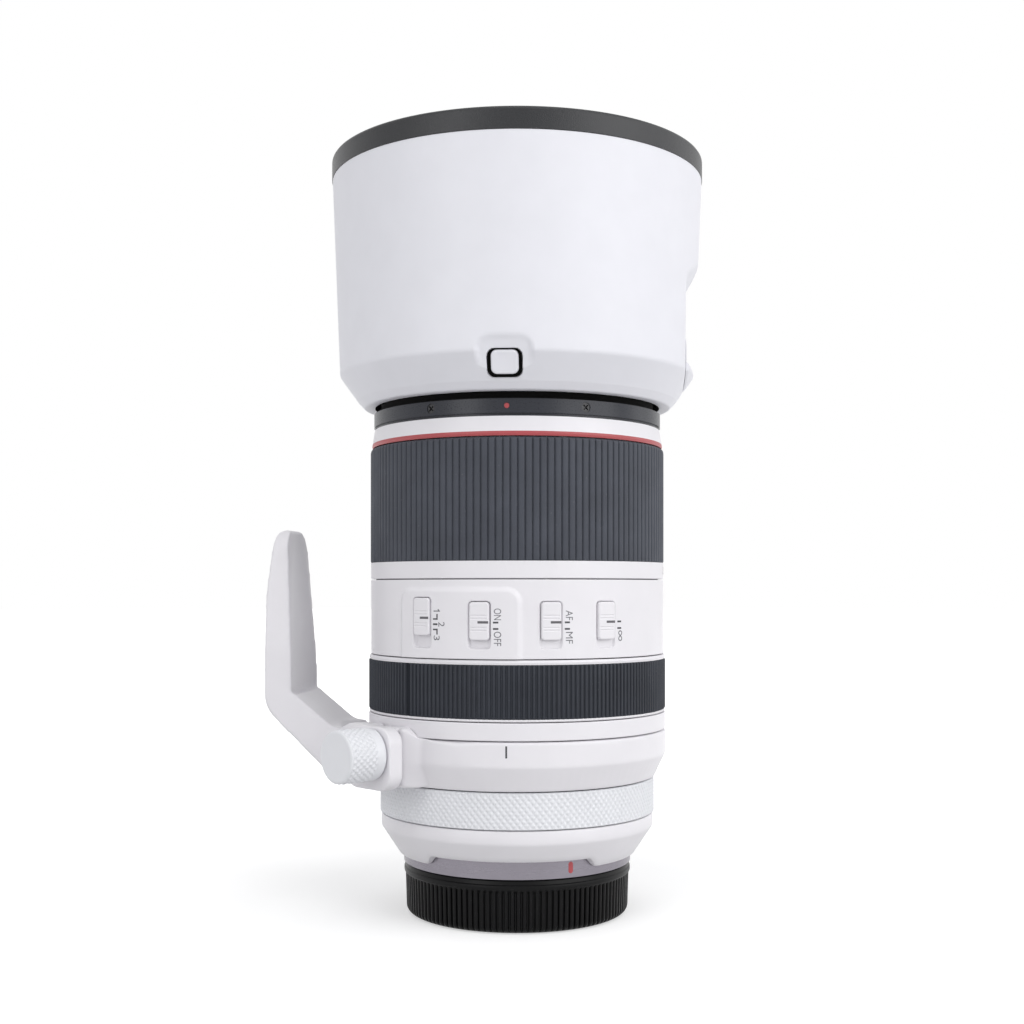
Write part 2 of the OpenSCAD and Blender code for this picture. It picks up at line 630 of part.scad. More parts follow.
// Thick part of the collar between the foot and the clamp plate
module shoulder(a0, a1) rotate([0, 0, a0 - 90]) rotate_extrude(angle = a1 - a0)
    polygon([[collar_in + 1, z_collar + 0.6], [plate_r1 - 1, z_collar + 0.6],
        [plate_r1 - 1, z_collar + 0.2 + plate_h], [collar_r + 0.3, z_collar + 0.2 + plate_h],
        [collar_r + 0.3, z_band - half - 0.2], [collar_in + 1, z_band - half - 0.2]]);
module collar_band() color("white") difference() {
    union() {
        collar_half(hinge_angle + 5, 360 - 53);
        knuckle(z_collar + half + 0.1, z_collar + 4.7, 1);
        knuckle(z_band - 5, z_band - half - 0.1, 1);
        radial(knob_angle, plate_r0, z_collar + 0.4 + plate_h / 2)
            linear_extrude(plate_r1 - plate_r0) plate_face();
        difference() {
            shoulder(foot_angle + 8, -49);
            rotate([0, 0, foot_angle]) translate([-foot_w / 2, -foot_reach, z_collar - 1])
                cube([foot_w, foot_reach - 30, 30]);
            radial(foot_angle + 29, collar_in, z_foot + 14.3) linear_extrude(40)
                polygon(rounded([[-30, 0, 0], [-7, 0, 5], [7, 3.6, 5], [12, 3.9, 0], [12, 20, 0],
                    [-30, 20, 0]], 4));
        }
    }
    radial(knob_angle, collar_r, z_knob) cylinder(r = 2.35, h = 20);
    radial(knob_angle, 0, z_collar + 8) translate([-8.5, -20, 0]) cube([40, 40, plate_r0]);
}
module collar_jaw() color("white") difference() {
    union() {
        collar_half(-51.5, hinge_angle - 5);
        knuckle(z_collar + 5, z_band - 5.3, -1);
        intersection() {
            radial(knob_angle, collar_r - 8, z_collar + half + 0.2) translate([-7.4, 0, 0])
                linear_extrude(boss_r - collar_r + 9) polygon(rounded([[0, 0, 0], [14.4, 0, 3],
                [22, 7.4, 4], [30, 7.4, 0], [30, collar_h - 0.7, 0], [17.4, collar_h - 0.7, 0.6],
                [14.9, plate_h - 0.7, 1.6], [0, plate_h - 0.7, 0]], 4));
            rotate([0, 0, knob_angle]) linear_extrude(z_end)
                polygon(rounded([[-7.4, boss_drop - boss_r, 0], [6.8, -boss_r, 1.5],
                    [9.8, -collar_r, 3], [15, 2.1 - collar_r, 0], [20, 5 - collar_r, 0],
                    [-7.4, 2.4 - collar_r, 0]], 4));
            union() {
                ring(collar_r + 0.3, boss_r + 20, z_collar, z_band + 10);
                ring(collar_in, boss_r + 20, z_collar, z_band - half);
            }
        }
    }
}
module collar_hinge_pin() color("silver") rotate([0, 0, hinge_angle]) translate([0, -hinge_r, 0])
    disc(pin_r, z_collar + half, z_band - half);
module collar_knob() color("white") {
    radial(knob_angle, plate_r1 + 0.4, z_knob) cylinder(r = knob_r, h = knob_len - 1);
    radial(knob_angle, plate_r1 + 0.4 + knob_len - 1, z_knob)
        cylinder(r1 = knob_r, r2 = knob_r - 0.8, h = 1);
    radial(knob_angle, boss_r + 0.35, z_knob) cylinder(r = 2, h = plate_r1 - boss_r + 1);
}
module tripod_foot() color("white") {
    inner = foot_reach - foot_t;
    top = z_foot + foot_rise;
    bend = z_foot + 20;
    side = foot_w / 2;
    tip = side - foot_taper;
    root = [54, z_foot + 14.4];
    elbow = [inner - 0.4, bend + 4.6];
    lean = atan2(elbow[0] - root[0], elbow[1] - root[1]);
    hollow_r = 38;
    outline = rounded([
        [collar_r - 4, z_foot, 0], [55, z_foot, 5], [foot_reach, bend, 9], [foot_reach, top - 19, 30],
        [foot_reach - 2, top, 2.6], [inner + 2.4, top - 0.6, 1.4], [elbow[0], elbow[1], 5],
        [root[0], root[1], 6], [collar_r - 4, z_foot + 14, 0]], 8);
    difference() {
        intersection() {
            rotate([0, 0, foot_angle]) translate([side, 0, 0]) rotate([90, 0, -90])
                linear_extrude(foot_w) polygon(outline);
            radial(foot_angle, collar_r - 8, z_foot) linear_extrude(60)
                polygon(rounded([[-side, -10, 0], [side, -10, 0], [side, foot_rise - 37, 30],
                    [tip, foot_rise + 0.3, 9], [-tip, foot_rise + 0.3, 9], [-side, foot_rise - 37, 30]], 8));
        }
        collar_core();
        rotate([0, 0, foot_angle]) {
            translate([0, hollow_r - inner - 2.5, bend + 4.2]) cylinder(r = hollow_r, h = foot_rise);
            translate([0, -root[0], root[1]]) rotate([lean - 11, 0, 0])
                translate([0, hollow_r, -4]) cylinder(r = hollow_r, h = 24);
        }
        radial(foot_angle, foot_reach - 5.4, z_thread) cylinder(r = thread_r, h = 8);
    }
}

// Hood and rear cap

hood_step = hood_rear_r - hood_bore;
hood_outer = rounded([[hood_bore, z_hood, 0], [hood_bore + 0.295 * hood_step, z_hood, 1.2],
    [hood_bore + 0.486 * hood_step, z_hood + 2.1, 1],
    [hood_rear_r, z_corner, 1.6], [hood_front_r, z_rim, 0]], 4);
module hood_envelope() turned(concat([[0, z_hood]], hood_outer, [[0, z_rim]]));
module window_box(w, z0, z1, d0, d1, r) radial(90, d0, (z0 + z1) / 2) linear_extrude(d1 - d0)
    rrect(w, z1 - z0, r);
// Flat that the door slides on, with a ramp out to the hood's surface at its front end
module window_flat() translate([0, hood_front_r, 0]) rotate([90, 0, 0]) linear_extrude(2 * hood_front_r)
    polygon(rounded([[window_d, z_hood - 1, 0], [window_d + 14, z_hood - 1, 0],
        [window_d + 14, z_ramp + 34, 0], [window_d, z_ramp, 12]], 6));
module pad_place() radial(0, hood_rear_r - 2.6, z_hood + 7.4) rotate([pad_tilt, 0, 0]) children();
module hood_shell() color("white") difference() {
    union() {
        turned(concat(hood_outer, [[hood_front_r - 0.9, z_rim], [hood_front_r - 0.9, z_rim + 3],
            [hood_front_r - hood_wall, z_rim + 3], [hood_rear_r - hood_wall, z_corner + 3],
            [hood_bore + 2, z_corner - 0.6], [hood_bore, z_corner - 0.6]]));
        for (i = [0:2])
            band(neck_r + 0.45, hood_bore + 1, z_lug, z_lug + lug_h, 120 * i - 16, 120 * i + 16);
        intersection() {
            radial(90, window_d - 3, z_hood + 25) linear_extrude(8) rrect(window_w + 6, 36, 4);
            hood_envelope();
        }
    }
    window_flat();
    window_box(window_w - 5, z_window, z_window + window_h, window_d - 12, window_d + 4, 2);
    pad_place() linear_extrude(14) rrect(15.4, 13.6, 3.5);
    pad_place() translate([0, -button_low, -2.4]) linear_extrude(8)
        rrect(button_w + 2 * button_gap, button_h + 2 * button_gap, 2.2);
}
module hood_button() color("white") pad_place() translate([0, -button_low, -1.5])
    linear_extrude(1.7) rrect(button_w, button_h, 1.6);
module hood_window() color("white") {
    intersection() {
        union() {
            window_box(window_w - 0.8, z_window - 6.3, z_window + window_h + 1.2, window_d + 0.35,
                window_d + 1.3, 5);
            window_box(window_w - 3, z_window - 5.9, z_window + 2.1, window_d + 0.35, window_d + 4, 2);
        }
        hood_envelope();
    }
}
module hood_lining() color("black") {
    felt = 0.5;
    seat = 0.05;
    z0 = z_corner + 3;
    r0 = hood_rear_r - hood_wall - seat;
    r1 = hood_front_r - hood_wall - 2 * seat;
    low = hood_bore + 2.6;
    floor_z = z_corner - 0.6 + 3.6 * (low - hood_bore - 2) / (hood_rear_r - hood_wall - hood_bore - 2);
    difference() {
        turned([[low, floor_z + 2 * seat], [r0, z0 + seat], [r1, z_rim + 2.9], [r1 - felt, z_rim + 2.9],
            [r0 - felt, z0 + felt], [low, floor_z + felt + 2 * seat]]);
        window_box(window_w + 6.8, z_hood + 4, z_hood + 43.4, window_d - 8, window_d + 20, 4.4);
    }
}
module hood_rim() color("black") turned(rounded([
    [hood_front_r - 0.9, z_rim, 0], [hood_front_r + 0.2, z_rim, 0.2],
    [hood_front_r + 0.2, z_rim + rim_h, 0.9], [hood_front_r - hood_wall - 0.4, z_rim + rim_h, 0.9],
    [hood_front_r - hood_wall - 0.4, z_rim + 3, 0], [hood_front_r - 0.9, z_rim + 3, 0]], 4));
module rear_cap() color("black") {
    top = z_flange - gap;
    r = mount_r - 0.1;
    difference() {
        union() {
            intersection() {
                linear_extrude(top - 2.6) polygon(ribs(cap_ribs, r - 0.4, r - 1.1, 0.62, 0.06));
                turned(rounded([[0, 0, 0], [r - 0.7, 0, 2], [r - 0.2, top - 2.6, 0],
                    [0, top - 2.6, 0]], 5));
            }
            ring(r - cap_wall, r, top - 3, top - 1.4);
            ring(r - cap_wall, r - 0.4, top - 1.6, top);
        }
        disc(r - cap_wall, 2.2, top + 1);
    }
    for (a = [30, 150, 270])
        band(bayonet_r + 0.4, r - cap_wall + 0.5, z_flange - 3.3, z_flange - 2, a - 22, a + 22);
}

mount_ring();
mount_screws();
contact_block();
main_board();
rear_skirt();
rear_barrel();
guide_barrel();
rear_band();
switch_shell();
rear_cell();
rear_elements();
focus_rods();
focus_motors();
stabilizer_base();
iris_base();
zoom_cam_sleeve();
zoom_scale_ring();
zoom_grip();
front_tube();
cam_followers();
front_cover();
red_ring();
front_ring();
front_screws();
front_elements();
front_retainer();
variator_cell();
variator_elements();
focus_cell();
focus_element();
stabilizer_frame();
stabilizer_element();
iris_drive_ring();
iris_blade_1();
iris_blade_2();
iris_blade_3();
iris_blade_4();
iris_blade_5();
iris_blade_6();
iris_blade_7();
iris_blade_8();
iris_blade_9();
focus_sleeve();
focus_grip();
control_ring();
collar_band();
tripod_foot();
collar_hinge_pin();
collar_jaw();
collar_knob();
hood_shell();
hood_lining();
hood_rim();
hood_button();
hood_window();
switch_mode();
switch_stabilizer();
switch_focus();
switch_limiter();
rear_cap();
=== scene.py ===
"""White zoom lens with its hood, tripod collar and rear cap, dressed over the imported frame.

Lengths below are millimetres and angles are degrees round the lens axis, 0 towards the camera's
side and rising to the right. Blender's own units are metres, so every point is scaled by MM.
"""
import json
import math

import bpy
import numpy as np
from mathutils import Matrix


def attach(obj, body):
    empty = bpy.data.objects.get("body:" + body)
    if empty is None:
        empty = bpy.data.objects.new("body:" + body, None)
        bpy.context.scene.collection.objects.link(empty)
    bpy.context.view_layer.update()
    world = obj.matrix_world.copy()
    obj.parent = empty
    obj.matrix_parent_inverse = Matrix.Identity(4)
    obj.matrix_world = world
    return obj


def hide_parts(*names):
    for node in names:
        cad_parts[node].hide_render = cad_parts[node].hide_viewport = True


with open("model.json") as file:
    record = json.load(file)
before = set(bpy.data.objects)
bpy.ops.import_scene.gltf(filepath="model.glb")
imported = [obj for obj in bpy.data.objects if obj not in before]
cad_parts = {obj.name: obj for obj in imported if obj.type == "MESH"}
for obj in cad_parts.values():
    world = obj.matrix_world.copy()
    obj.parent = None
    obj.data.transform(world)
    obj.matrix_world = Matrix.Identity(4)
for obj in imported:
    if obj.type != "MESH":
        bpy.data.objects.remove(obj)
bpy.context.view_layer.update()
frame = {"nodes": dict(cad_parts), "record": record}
nodes = frame["nodes"]
scene = bpy.context.scene

MM = 0.001
HALF_GAP = 0.15

# Heights along the axis
Z_FLANGE = 15.5
Z_CONTROL = 30.4
Z_COLLAR = 41.0
Z_BAND = 55.4
Z_FOCUS = 60.6
Z_SWITCH = 77.8
Z_ZOOM = 100.0
Z_SCALE = 105.0
Z_COVER = 139.2
Z_FRONT = 144.8
Z_HOOD = 151.6
Z_CORNER = 161.2
Z_RIM = 219.4

# Radii
BODY_R = 44.35
SHELL_IN = 43.1
FOCUS_R = 44.95
CONTROL_R = 41.6
FRAME_R = 40.1
SKIRT_R = 41.2
MOUNT_R = 34.4
FRONT_R = 43.4
COLLAR_R = 45.05
COLLAR_IN = 40.55
CAP_R = 34.3
HOOD_BORE = 43.1
HOOD_REAR_R = 53.6
HOOD_FRONT_R = 55.8
HOOD_WALL = 2.3
HOOD_END_R = 46.2
HOOD_STEP_R = 48.2
HOOD_STEP = 2.1
LIP_IN = 0.9
LIP_H = 2.8

# Switches
SWITCH_ANGLES = {"switch_mode": -32.5, "switch_stabilizer": -9.6, "switch_focus": 16.0,
                 "switch_limiter": 37.8}
SLOT_W = 6.3
SLOT_TOP = 93.85
SLOT_H = 13.1
SLOT_EXTRA = 1.1
SLOT_FLOOR = 43.5
SLOT_CORNER = 1.1
SLIDER_W = 5.6
SLIDER_H = 10.5
SLIDER_CORNER = 0.9
SLIDER_Z = 88.4
PANEL_PROUD = 0.7
PANEL_A0 = -43.4
PANEL_A1 = 4.9
PANEL_TOP = 97.2
PANEL_H = 40.0
PANEL_CORNER = 4.0
PANEL_BEVEL = 1.9
SHELL_ROUND = 0.2

# Hood button and window
PAD_R = 51.0
PAD_Z = 159.0
PAD_TILT = 20.4
PAD_W = 15.4
PAD_H = 13.6
PAD_CORNER = 3.6
BUTTON_W = 7.5
BUTTON_H = 6.6
BUTTON_CORNER = 1.7
HOLE_W = 9.5
HOLE_H = 7.9
HOLE_CORNER = 2.2
HOLE_LOW = 0.95
HOLE_DEEP = 2.0
BUTTON_LOW = 0.78
WINDOW_D = 50.2
WINDOW_W = 34.0
WINDOW_H = 6.5
Z_WINDOW = Z_HOOD + 11.5
Z_RAMP = Z_WINDOW + 2 * WINDOW_H + 11.6
RAMP_SLOPE = 0.75

# Collar knob
KNOB_ANGLE = -42.0
KNOB_Z = 51.5
KNOB_R = 7.5
KNOB_START = 56.65
KNOB_END = 68.65
KNOB_SHAFT_R = 2.0
KNOB_SHAFT_START = 50.95
KNOB_CORE_R = 0.6
KNOB_FACE_R = 4.0

# Ribbed grips and cap
ZOOM_RIBS = 135
ZOOM_RIB_DEEP = 0.6
ZOOM_GRIP_IN = BODY_R - 1.6
FOCUS_RIBS = 204
FOCUS_RIB_DEEP = 0.5
FOCUS_GRIP_IN = FOCUS_R - 1.35
FOCUS_SEAM = -40.0
CAP_RIBS = 120
CAP_RIB_DEEP = 0.7
CAP_RIB_R = CAP_R - 0.42
CAP_FILLET = 2.0
CAP_WALL = 3.4
CAP_FLOOR = 2.2
CAP_CORE_R = 3.0
CAP_DISH_R = 26.5

# Rear skirt
SKIRT_LOW = Z_FLANGE + 2.5
SKIRT_LOW_R = MOUNT_R + 1.2
SKIRT_CORNER = 26.2
NOTCH_HALF = 43.5
NOTCH_FLANK = 7.0
NOTCH_RISE = 2.9


# Mesh helpers


def around(angles, r, z):
    """Points round the lens axis; r and z are numbers or one value per angle"""
    a = np.radians(angles)
    r = np.broadcast_to(r, a.shape)
    z = np.broadcast_to(z, a.shape)
    return np.stack([r * np.sin(a), -r * np.cos(a), z], axis=1)


def loop_faces(count, rows, closed=True):
    """Quads between rows of count points that close round the axis"""
    faces = []
    last = rows if closed else rows - 1
    for i in range(last):
        j = (i + 1) % rows
        for k in range(count):
            n = (k + 1) % count
            faces.append((i * count + k, i * count + n, j * count + n, j * count + k))
    return faces


def place(points, angle, z=0.0):
    """Points of a radial frame, x round the ring, y up and z outwards, moved onto the lens"""
    a = math.radians(angle)
    side = np.array([math.cos(a), math.sin(a), 0.0])
    out = np.array([math.sin(a), -math.cos(a), 0.0])
    up = np.array([0.0, 0.0, 1.0])
    p = np.asarray(points, float)
    return p[:, :1] * side + (p[:, 1:2] + z) * up + p[:, 2:3] * out


def pad_axes():
    """Middle of the hood button's pad, and its directions to the right, up the pad and out of it"""
    t = math.radians(PAD_TILT)
    up = np.array([0.0, -math.sin(t), math.cos(t)])
    out = np.array([0.0, -math.cos(t), -math.sin(t)])
    return np.array([0.0, -PAD_R, PAD_Z]), np.array([1.0, 0.0, 0.0]), up, out


def pad_frame(points):
    """Points of the hood button's frame, x to the right, y up the pad and z out of it"""
    middle, side, up, out = pad_axes()
    p = np.asarray(points, float)
    return middle + p[:, :1] * side + p[:, 1:2] * up + p[:, 2:3] * out


def smooth(t):
    """0 below 0, 1 above 1 and a soft step between"""
    t = np.clip(t, 0.0, 1.0)
    return t * t * (3 - 2 * t)


def box_distance(x, y, w, h, r):
    """Distance outside a rounded rectangle, negative inside"""
    qx = np.abs(x) - w / 2 + r
    qy = np.abs(y) - h / 2 + r
    outside = np.hypot(np.maximum(qx, 0), np.maximum(qy, 0))
    return outside + np.minimum(np.maximum(qx, qy), 0) - r


def outline(w, h, r, steps=6):
    """Corner points of a rounded rectangle, counter-clockwise"""
    pts = []
    for quarter, (sx, sy) in enumerate([(1, -1), (1, 1), (-1, 1), (-1, -1)]):
        for i in range(steps + 1):
            a = math.radians(-90 + 90 * quarter + 90 * i / steps)
            pts.append((sx * (w / 2 - r) + r * math.cos(a), sy * (h / 2 - r) + r * math.sin(a)))
    return np.array(pts)


def rounded(points, steps=5):
    """A profile whose corners, given as radius and height and fillet, are rounded"""
    out = []
    for i, (x, y, r) in enumerate(points):
        p = np.array([x, y])
        if r <= 0:
            out.append(p)
            continue
        u = np.array(points[i - 1][:2]) - p
        v = np.array(points[i + 1][:2]) - p
        u /= np.linalg.norm(u)
        v /= np.linalg.norm(v)
        half = math.acos(float(np.clip(u @ v, -1, 1))) / 2
        middle = (u + v) / np.linalg.norm(u + v)
        centre = p + middle * r / math.sin(half)
        start = p + u * r / math.tan(half) - centre
        end = p + v * r / math.tan(half) - centre
        a0 = math.atan2(start[1], start[0])
        turn = (math.atan2(end[1], end[0]) - a0 + 3 * math.pi) % (2 * math.pi) - math.pi
        for k in range(steps + 1):
            a = a0 + turn * k / steps
            out.append(centre + r * np.array([math.cos(a), math.sin(a)]))
    return np.array(out)


def resample(line, step):
    """A profile cut into pieces no longer than step(height)"""
    out = [line[0]]
    for a, b in zip(line[:-1], line[1:]):
        parts = max(1, math.ceil(np.linalg.norm(b - a) / step((a[1] + b[1]) / 2)))
        for k in range(1, parts + 1):
            out.append(a + (b - a) * k / parts)
    return np.array(out)


def piece(name, verts, faces, body, slot, material, *stands_for, sharp=35):
    """A mesh in millimetres that rides on a body, with smooth faces inside its sharp edges"""
    mesh = bpy.data.meshes.new(name)
    mesh.from_pydata([tuple(v) for v in np.asarray(verts, float) * MM], [], faces)
    mesh.validate()
    mesh.shade_smooth()
    mesh.set_sharp_from_angle(angle=math.radians(sharp))
    mesh.materials.append(material)
    obj = bpy.data.objects.new(name, mesh)
    scene.collection.objects.link(obj)
    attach(obj, body)
    if stands_for:
        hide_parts(*stands_for)


def turned(name, angles, rows, body, slot, material, *stands_for, sharp=35):
    """A ring whose rows of radius and height run round the axis and close on themselves"""
    verts = np.concatenate([around(angles, r, z) for r, z in rows])
    faces = loop_faces(len(angles), len(rows))
    piece(name, verts, faces, body, slot, material, *stands_for, sharp=sharp)


def eased(mesh, weight, rounds):
    """Extra smoothing of a mesh where weight, a function of millimetres, rises from 0 to 1"""
    count = len(mesh.vertices)
    co = np.empty(count * 3)
    mesh.vertices.foreach_get("co", co)
    co = co.reshape(-1, 3)
    ends = np.empty(len(mesh.edges) * 2, dtype=np.int32)
    mesh.edges.foreach_get("vertices", ends)
    a, b = ends.reshape(-1, 2).T
    degree = np.bincount(ends, minlength=count)
    share = 0.5 * weight(co / MM)
    for _ in range(rounds):
        for axis in range(3):
            line = co[:, axis]
            total = np.bincount(a, line[b], count) + np.bincount(b, line[a], count)
            co[:, axis] = line + (total / degree - line) * share
    mesh.vertices.foreach_set("co", co.ravel())
    mesh.update()


def softened(name, node, voxel, rounds, body, material, weight=None, more=0):
    """A CAD solid with its edges eased as on a cast and painted part"""
    copy = bpy.data.objects.new(name, nodes[node].data.copy())
    scene.collection.objects.link(copy)
    remesh = copy.modifiers.new("remesh", "REMESH")
    remesh.mode = "VOXEL"
    remesh.voxel_size = voxel * MM
    ease = copy.modifiers.new("ease", "SMOOTH")
    ease.factor = 0.5
    ease.iterations = rounds
    graph = bpy.context.evaluated_depsgraph_get()
    mesh = bpy.data.meshes.new_from_object(copy.evaluated_get(graph))
    copy.modifiers.clear()
    copy.data = mesh
    mesh.name = name
    if weight:
        eased(mesh, weight, more)
    mesh.shade_smooth()
    mesh.materials.clear()
    mesh.materials.append(material)
    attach(copy, body)
    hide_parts(node)
    return copy


# Finishes


def linear(*rgb):
    """Scene colour of an 8-bit display colour"""
    out = []
    for v in rgb:
        c = v / 255
        out.append(c / 12.92 if c <= 0.04045 else ((c + 0.055) / 1.055) ** 2.4)
    return out


def noise(tree, size, stretch=(1, 1, 1), detail=3.0):
    """Noise with features about size millimetres across on the object"""
    coords = tree.nodes.new("ShaderNodeTexCoord")
    scale = tree.nodes.new("ShaderNodeMapping")
    scale.inputs["Scale"].default_value = stretch
    cloud = tree.nodes.new("ShaderNodeTexNoise")
    cloud.inputs["Scale"].default_value = 1 / (size * MM)
    cloud.inputs["Detail"].default_value = detail
    tree.links.new(coords.outputs["Object"], scale.inputs["Vector"])
    tree.links.new(scale.outputs["Vector"], cloud.inputs["Vector"])
    return cloud.outputs["Fac"]


def blend_colours(tree, factor, low, high):
    """Colour that goes from low to high with factor; each is a colour or a socket"""
    mix = tree.nodes.new("ShaderNodeMix")
    mix.data_type = "RGBA"
    tree.links.new(factor, mix.inputs[0])
    for socket, value in ((mix.inputs[6], low), (mix.inputs[7], high)):
        if isinstance(value, (list, tuple)):
            socket.default_value = (*value[:3], 1.0)
        else:
            tree.links.new(value, socket)
    return mix.outputs[2]


def between(tree, value, low, high, out_low, out_high):
    """A value mapped from one range to another and kept inside it"""
    node = tree.nodes.new("ShaderNodeMapRange")
    node.inputs["From Min"].default_value = low
    node.inputs["From Max"].default_value = high
    node.inputs["To Min"].default_value = out_low
    node.inputs["To Max"].default_value = out_high
    tree.links.new(value, node.inputs["Value"])
    return node.outputs["Result"]


def finish(name, rgb, rough, vary=0.03, cloud=9.0, grain=0.35, bump=0.06, stretch=(1, 1, 1), lint=0.0,
           **sockets):
    """Paint, plastic, rubber or metal: a base colour with broad tone, fine grain and some lint"""
    material = bpy.data.materials.new(name)
    material.use_nodes = True
    tree = material.node_tree
    shader = tree.nodes["Principled BSDF"]
    base = linear(*rgb)
    fine = noise(tree, grain, stretch)
    colour = blend_colours(
        tree,
        between(tree, noise(tree, cloud), 0.3, 0.7, 0.0, 1.0),
        [v * (1 - vary) for v in base],
        [min(1.0, v * (1 + vary)) for v in base],
    )
    if lint:
        fleck = between(tree, noise(tree, 0.8, detail=1.0), 0.74, 0.8, 0.0, lint)
        colour = blend_colours(tree, fleck, colour, [0.3, 0.3, 0.31])
    tree.links.new(colour, shader.inputs["Base Color"])
    tree.links.new(between(tree, fine, 0.3, 0.7, rough - 0.05, rough + 0.05), shader.inputs["Roughness"])
    relief = tree.nodes.new("ShaderNodeBump")
    relief.inputs["Strength"].default_value = bump
    relief.inputs["Distance"].default_value = grain * MM
    tree.links.new(fine, relief.inputs["Height"])
    tree.links.new(relief.outputs["Normal"], shader.inputs["Normal"])
    for socket, value in sockets.items():
        shader.inputs[socket.replace("_", " ")].default_value = value
    return material


WHITE_PAINT = finish("white_enamel", (229, 227, 231), 0.42, vary=0.012, grain=0.3, bump=0.05)
WHITE_HOOD = finish("white_hood_plastic", (228, 228, 234), 0.5, vary=0.012, grain=0.25, bump=0.07)
WHITE_KNURL = finish("white_knurled", (226, 227, 231), 0.4, vary=0.015, grain=0.4, bump=0.03)
ZOOM_RUBBER = finish("zoom_rubber", (70, 73, 81), 0.6, vary=0.1, grain=0.18, bump=0.12, lint=0.12,
                     Specular_IOR_Level=0.22)
FOCUS_RUBBER = finish("focus_rubber", (49, 52, 59), 0.56, vary=0.1, grain=0.18, bump=0.12, lint=0.12,
                      Specular_IOR_Level=0.22)
CAP_PLASTIC = finish("cap_plastic", (7, 7, 8), 0.36, vary=0.1, grain=0.25, bump=0.08, lint=0.05,
                     Specular_IOR_Level=0.15)
RIM_PLASTIC = finish("rim_plastic", (26, 27, 31), 0.36, vary=0.08, grain=0.3, bump=0.3,
                     Specular_IOR_Level=0.45)
BLACK_METAL = finish("black_anodised", (30, 30, 34), 0.4, vary=0.06, grain=0.2, bump=0.05)
FRONT_BLACK = finish("front_ring_black", (43, 45, 52), 0.3, vary=0.06, grain=0.2, bump=0.05,
                     Specular_IOR_Level=0.3)
BLACK_PLASTIC = finish("black_plastic", (16, 16, 17), 0.6, vary=0.1, grain=0.3, bump=0.1)
# Near-black for the lining in the hood button's gap: painted shade
PAINTED_GAP_SHADE = finish("painted_gap_shade", (4, 4, 4), 0.9, vary=0.2, grain=0.3, bump=0.1, Specular_IOR_Level=0.1)
RED_PAINT = finish("red_paint", (172, 70, 75), 0.42, vary=0.05, grain=0.2, bump=0.04)
STEEL = finish("mount_steel", (134, 130, 138), 0.3, vary=0.03, grain=0.3, bump=0.012,
               stretch=(0.04, 0.04, 1.0), Metallic=0.85)
DARK_METAL = finish("dark_metal", (92, 92, 96), 0.5, vary=0.05, grain=0.4, bump=0.05, Metallic=0.7)
BRASS = finish("brass", (190, 156, 92), 0.35, vary=0.06, grain=0.3, bump=0.04, Metallic=1.0)
BOARD = finish("circuit_board", (28, 96, 52), 0.45, vary=0.15, cloud=2.5, grain=0.3, bump=0.1)
FELT = finish("black_flock", (17, 17, 18), 0.95, vary=0.25, cloud=1.2, grain=0.15, bump=0.5,
              Sheen_Weight=0.25, Specular_IOR_Level=0.1)
GLASS = finish("coated_glass", (214, 224, 230), 0.06, vary=0.01, cloud=30, grain=2.0, bump=0.0,
               Transmission_Weight=1.0, IOR=1.55, Thin_Film_Thickness=380.0, Thin_Film_IOR=1.38)
PRINT = finish("grey_print", (112, 112, 117), 0.6, vary=0.06, grain=0.1, bump=0.05)
DARK_PRINT = finish("dark_print", (66, 66, 70), 0.6, vary=0.08, grain=0.1, bump=0.05)
INDEX_PRINT = finish("index_print", (92, 90, 95), 0.6, vary=0.06, grain=0.1, bump=0.05)


def painted_shade_above(material, z):
    """The ring's throat: the same finish turned black from a height on, as painted shade for the dark gap
    under the hood's edge
    """
    tree = material.node_tree
    shader = tree.nodes["Principled BSDF"]
    coords = tree.nodes.new("ShaderNodeTexCoord")
    split = tree.nodes.new("ShaderNodeSeparateXYZ")
    tree.links.new(coords.outputs["Object"], split.inputs["Vector"])
    factor = between(tree, split.outputs["Z"], z * MM, (z + 0.2) * MM, 0.0, 1.0)
    colour = shader.inputs["Base Color"].links[0].from_socket
    tree.links.new(blend_colours(tree, factor, colour, [0.001, 0.001, 0.001]), shader.inputs["Base Color"])
    rough = shader.inputs["Roughness"].links[0].from_socket
    dull = tree.nodes.new("ShaderNodeMath")
    dull.operation = "MAXIMUM"
    tree.links.new(rough, dull.inputs[0])
    tree.links.new(factor, dull.inputs[1])
    tree.links.new(dull.outputs[0], shader.inputs["Roughness"])


# Painted shade: the front ring's throat is turned black and dull from just below the hood's edge
painted_shade_above(FRONT_BLACK, Z_HOOD - 1.9)

SLOT_FINISH = {
    "white_paint": WHITE_PAINT, "white_plastic": WHITE_HOOD, "black_plastic": BLACK_PLASTIC,
    "black_rubber": FOCUS_RUBBER, "red_paint": RED_PAINT, "black_metal": BLACK_METAL, "steel": STEEL,
    "dark_metal": DARK_METAL, "brass": BRASS, "glass": GLASS, "board": BOARD, "felt": FELT,
}
for part in frame["record"]["subparts"]:
    data = nodes[part["node"]].data
    data.materials.clear()
    data.materials.append(SLOT_FINISH[part["material_slot"]])
nodes["hood_rim"].data.materials[0] = RIM_PLASTIC
nodes["front_ring"].data.materials[0] = FRONT_BLACK
nodes["front_screws"].data.materials[0] = BLACK_METAL


# Rubber grips and ribbed cap


def rib_rows(count, shape, seam=None):
    """Angles round a ribbed ring and how deep each lies in its groove, 0 on top and 1 at the root"""
    t = np.array([p for p, _ in shape])
    h = np.array([q for _, q in shape])
    pitch = 360 / count
    angles = ((np.arange(count)[:, None] + t[None, :]) * pitch).ravel() - 180
    depth = np.tile(1 - h, count)
    if seam is not None:
        depth[np.abs(angles - seam) < 0.4 * pitch] = 2.0
    return angles, depth


def grip_rows(top, groove, edge):
    """Rows of a ribbed grip; edge gives heights, each with how far its corner is rounded down"""
    return [(np.minimum(top - groove, top - drop), z) for z, drop in edge]


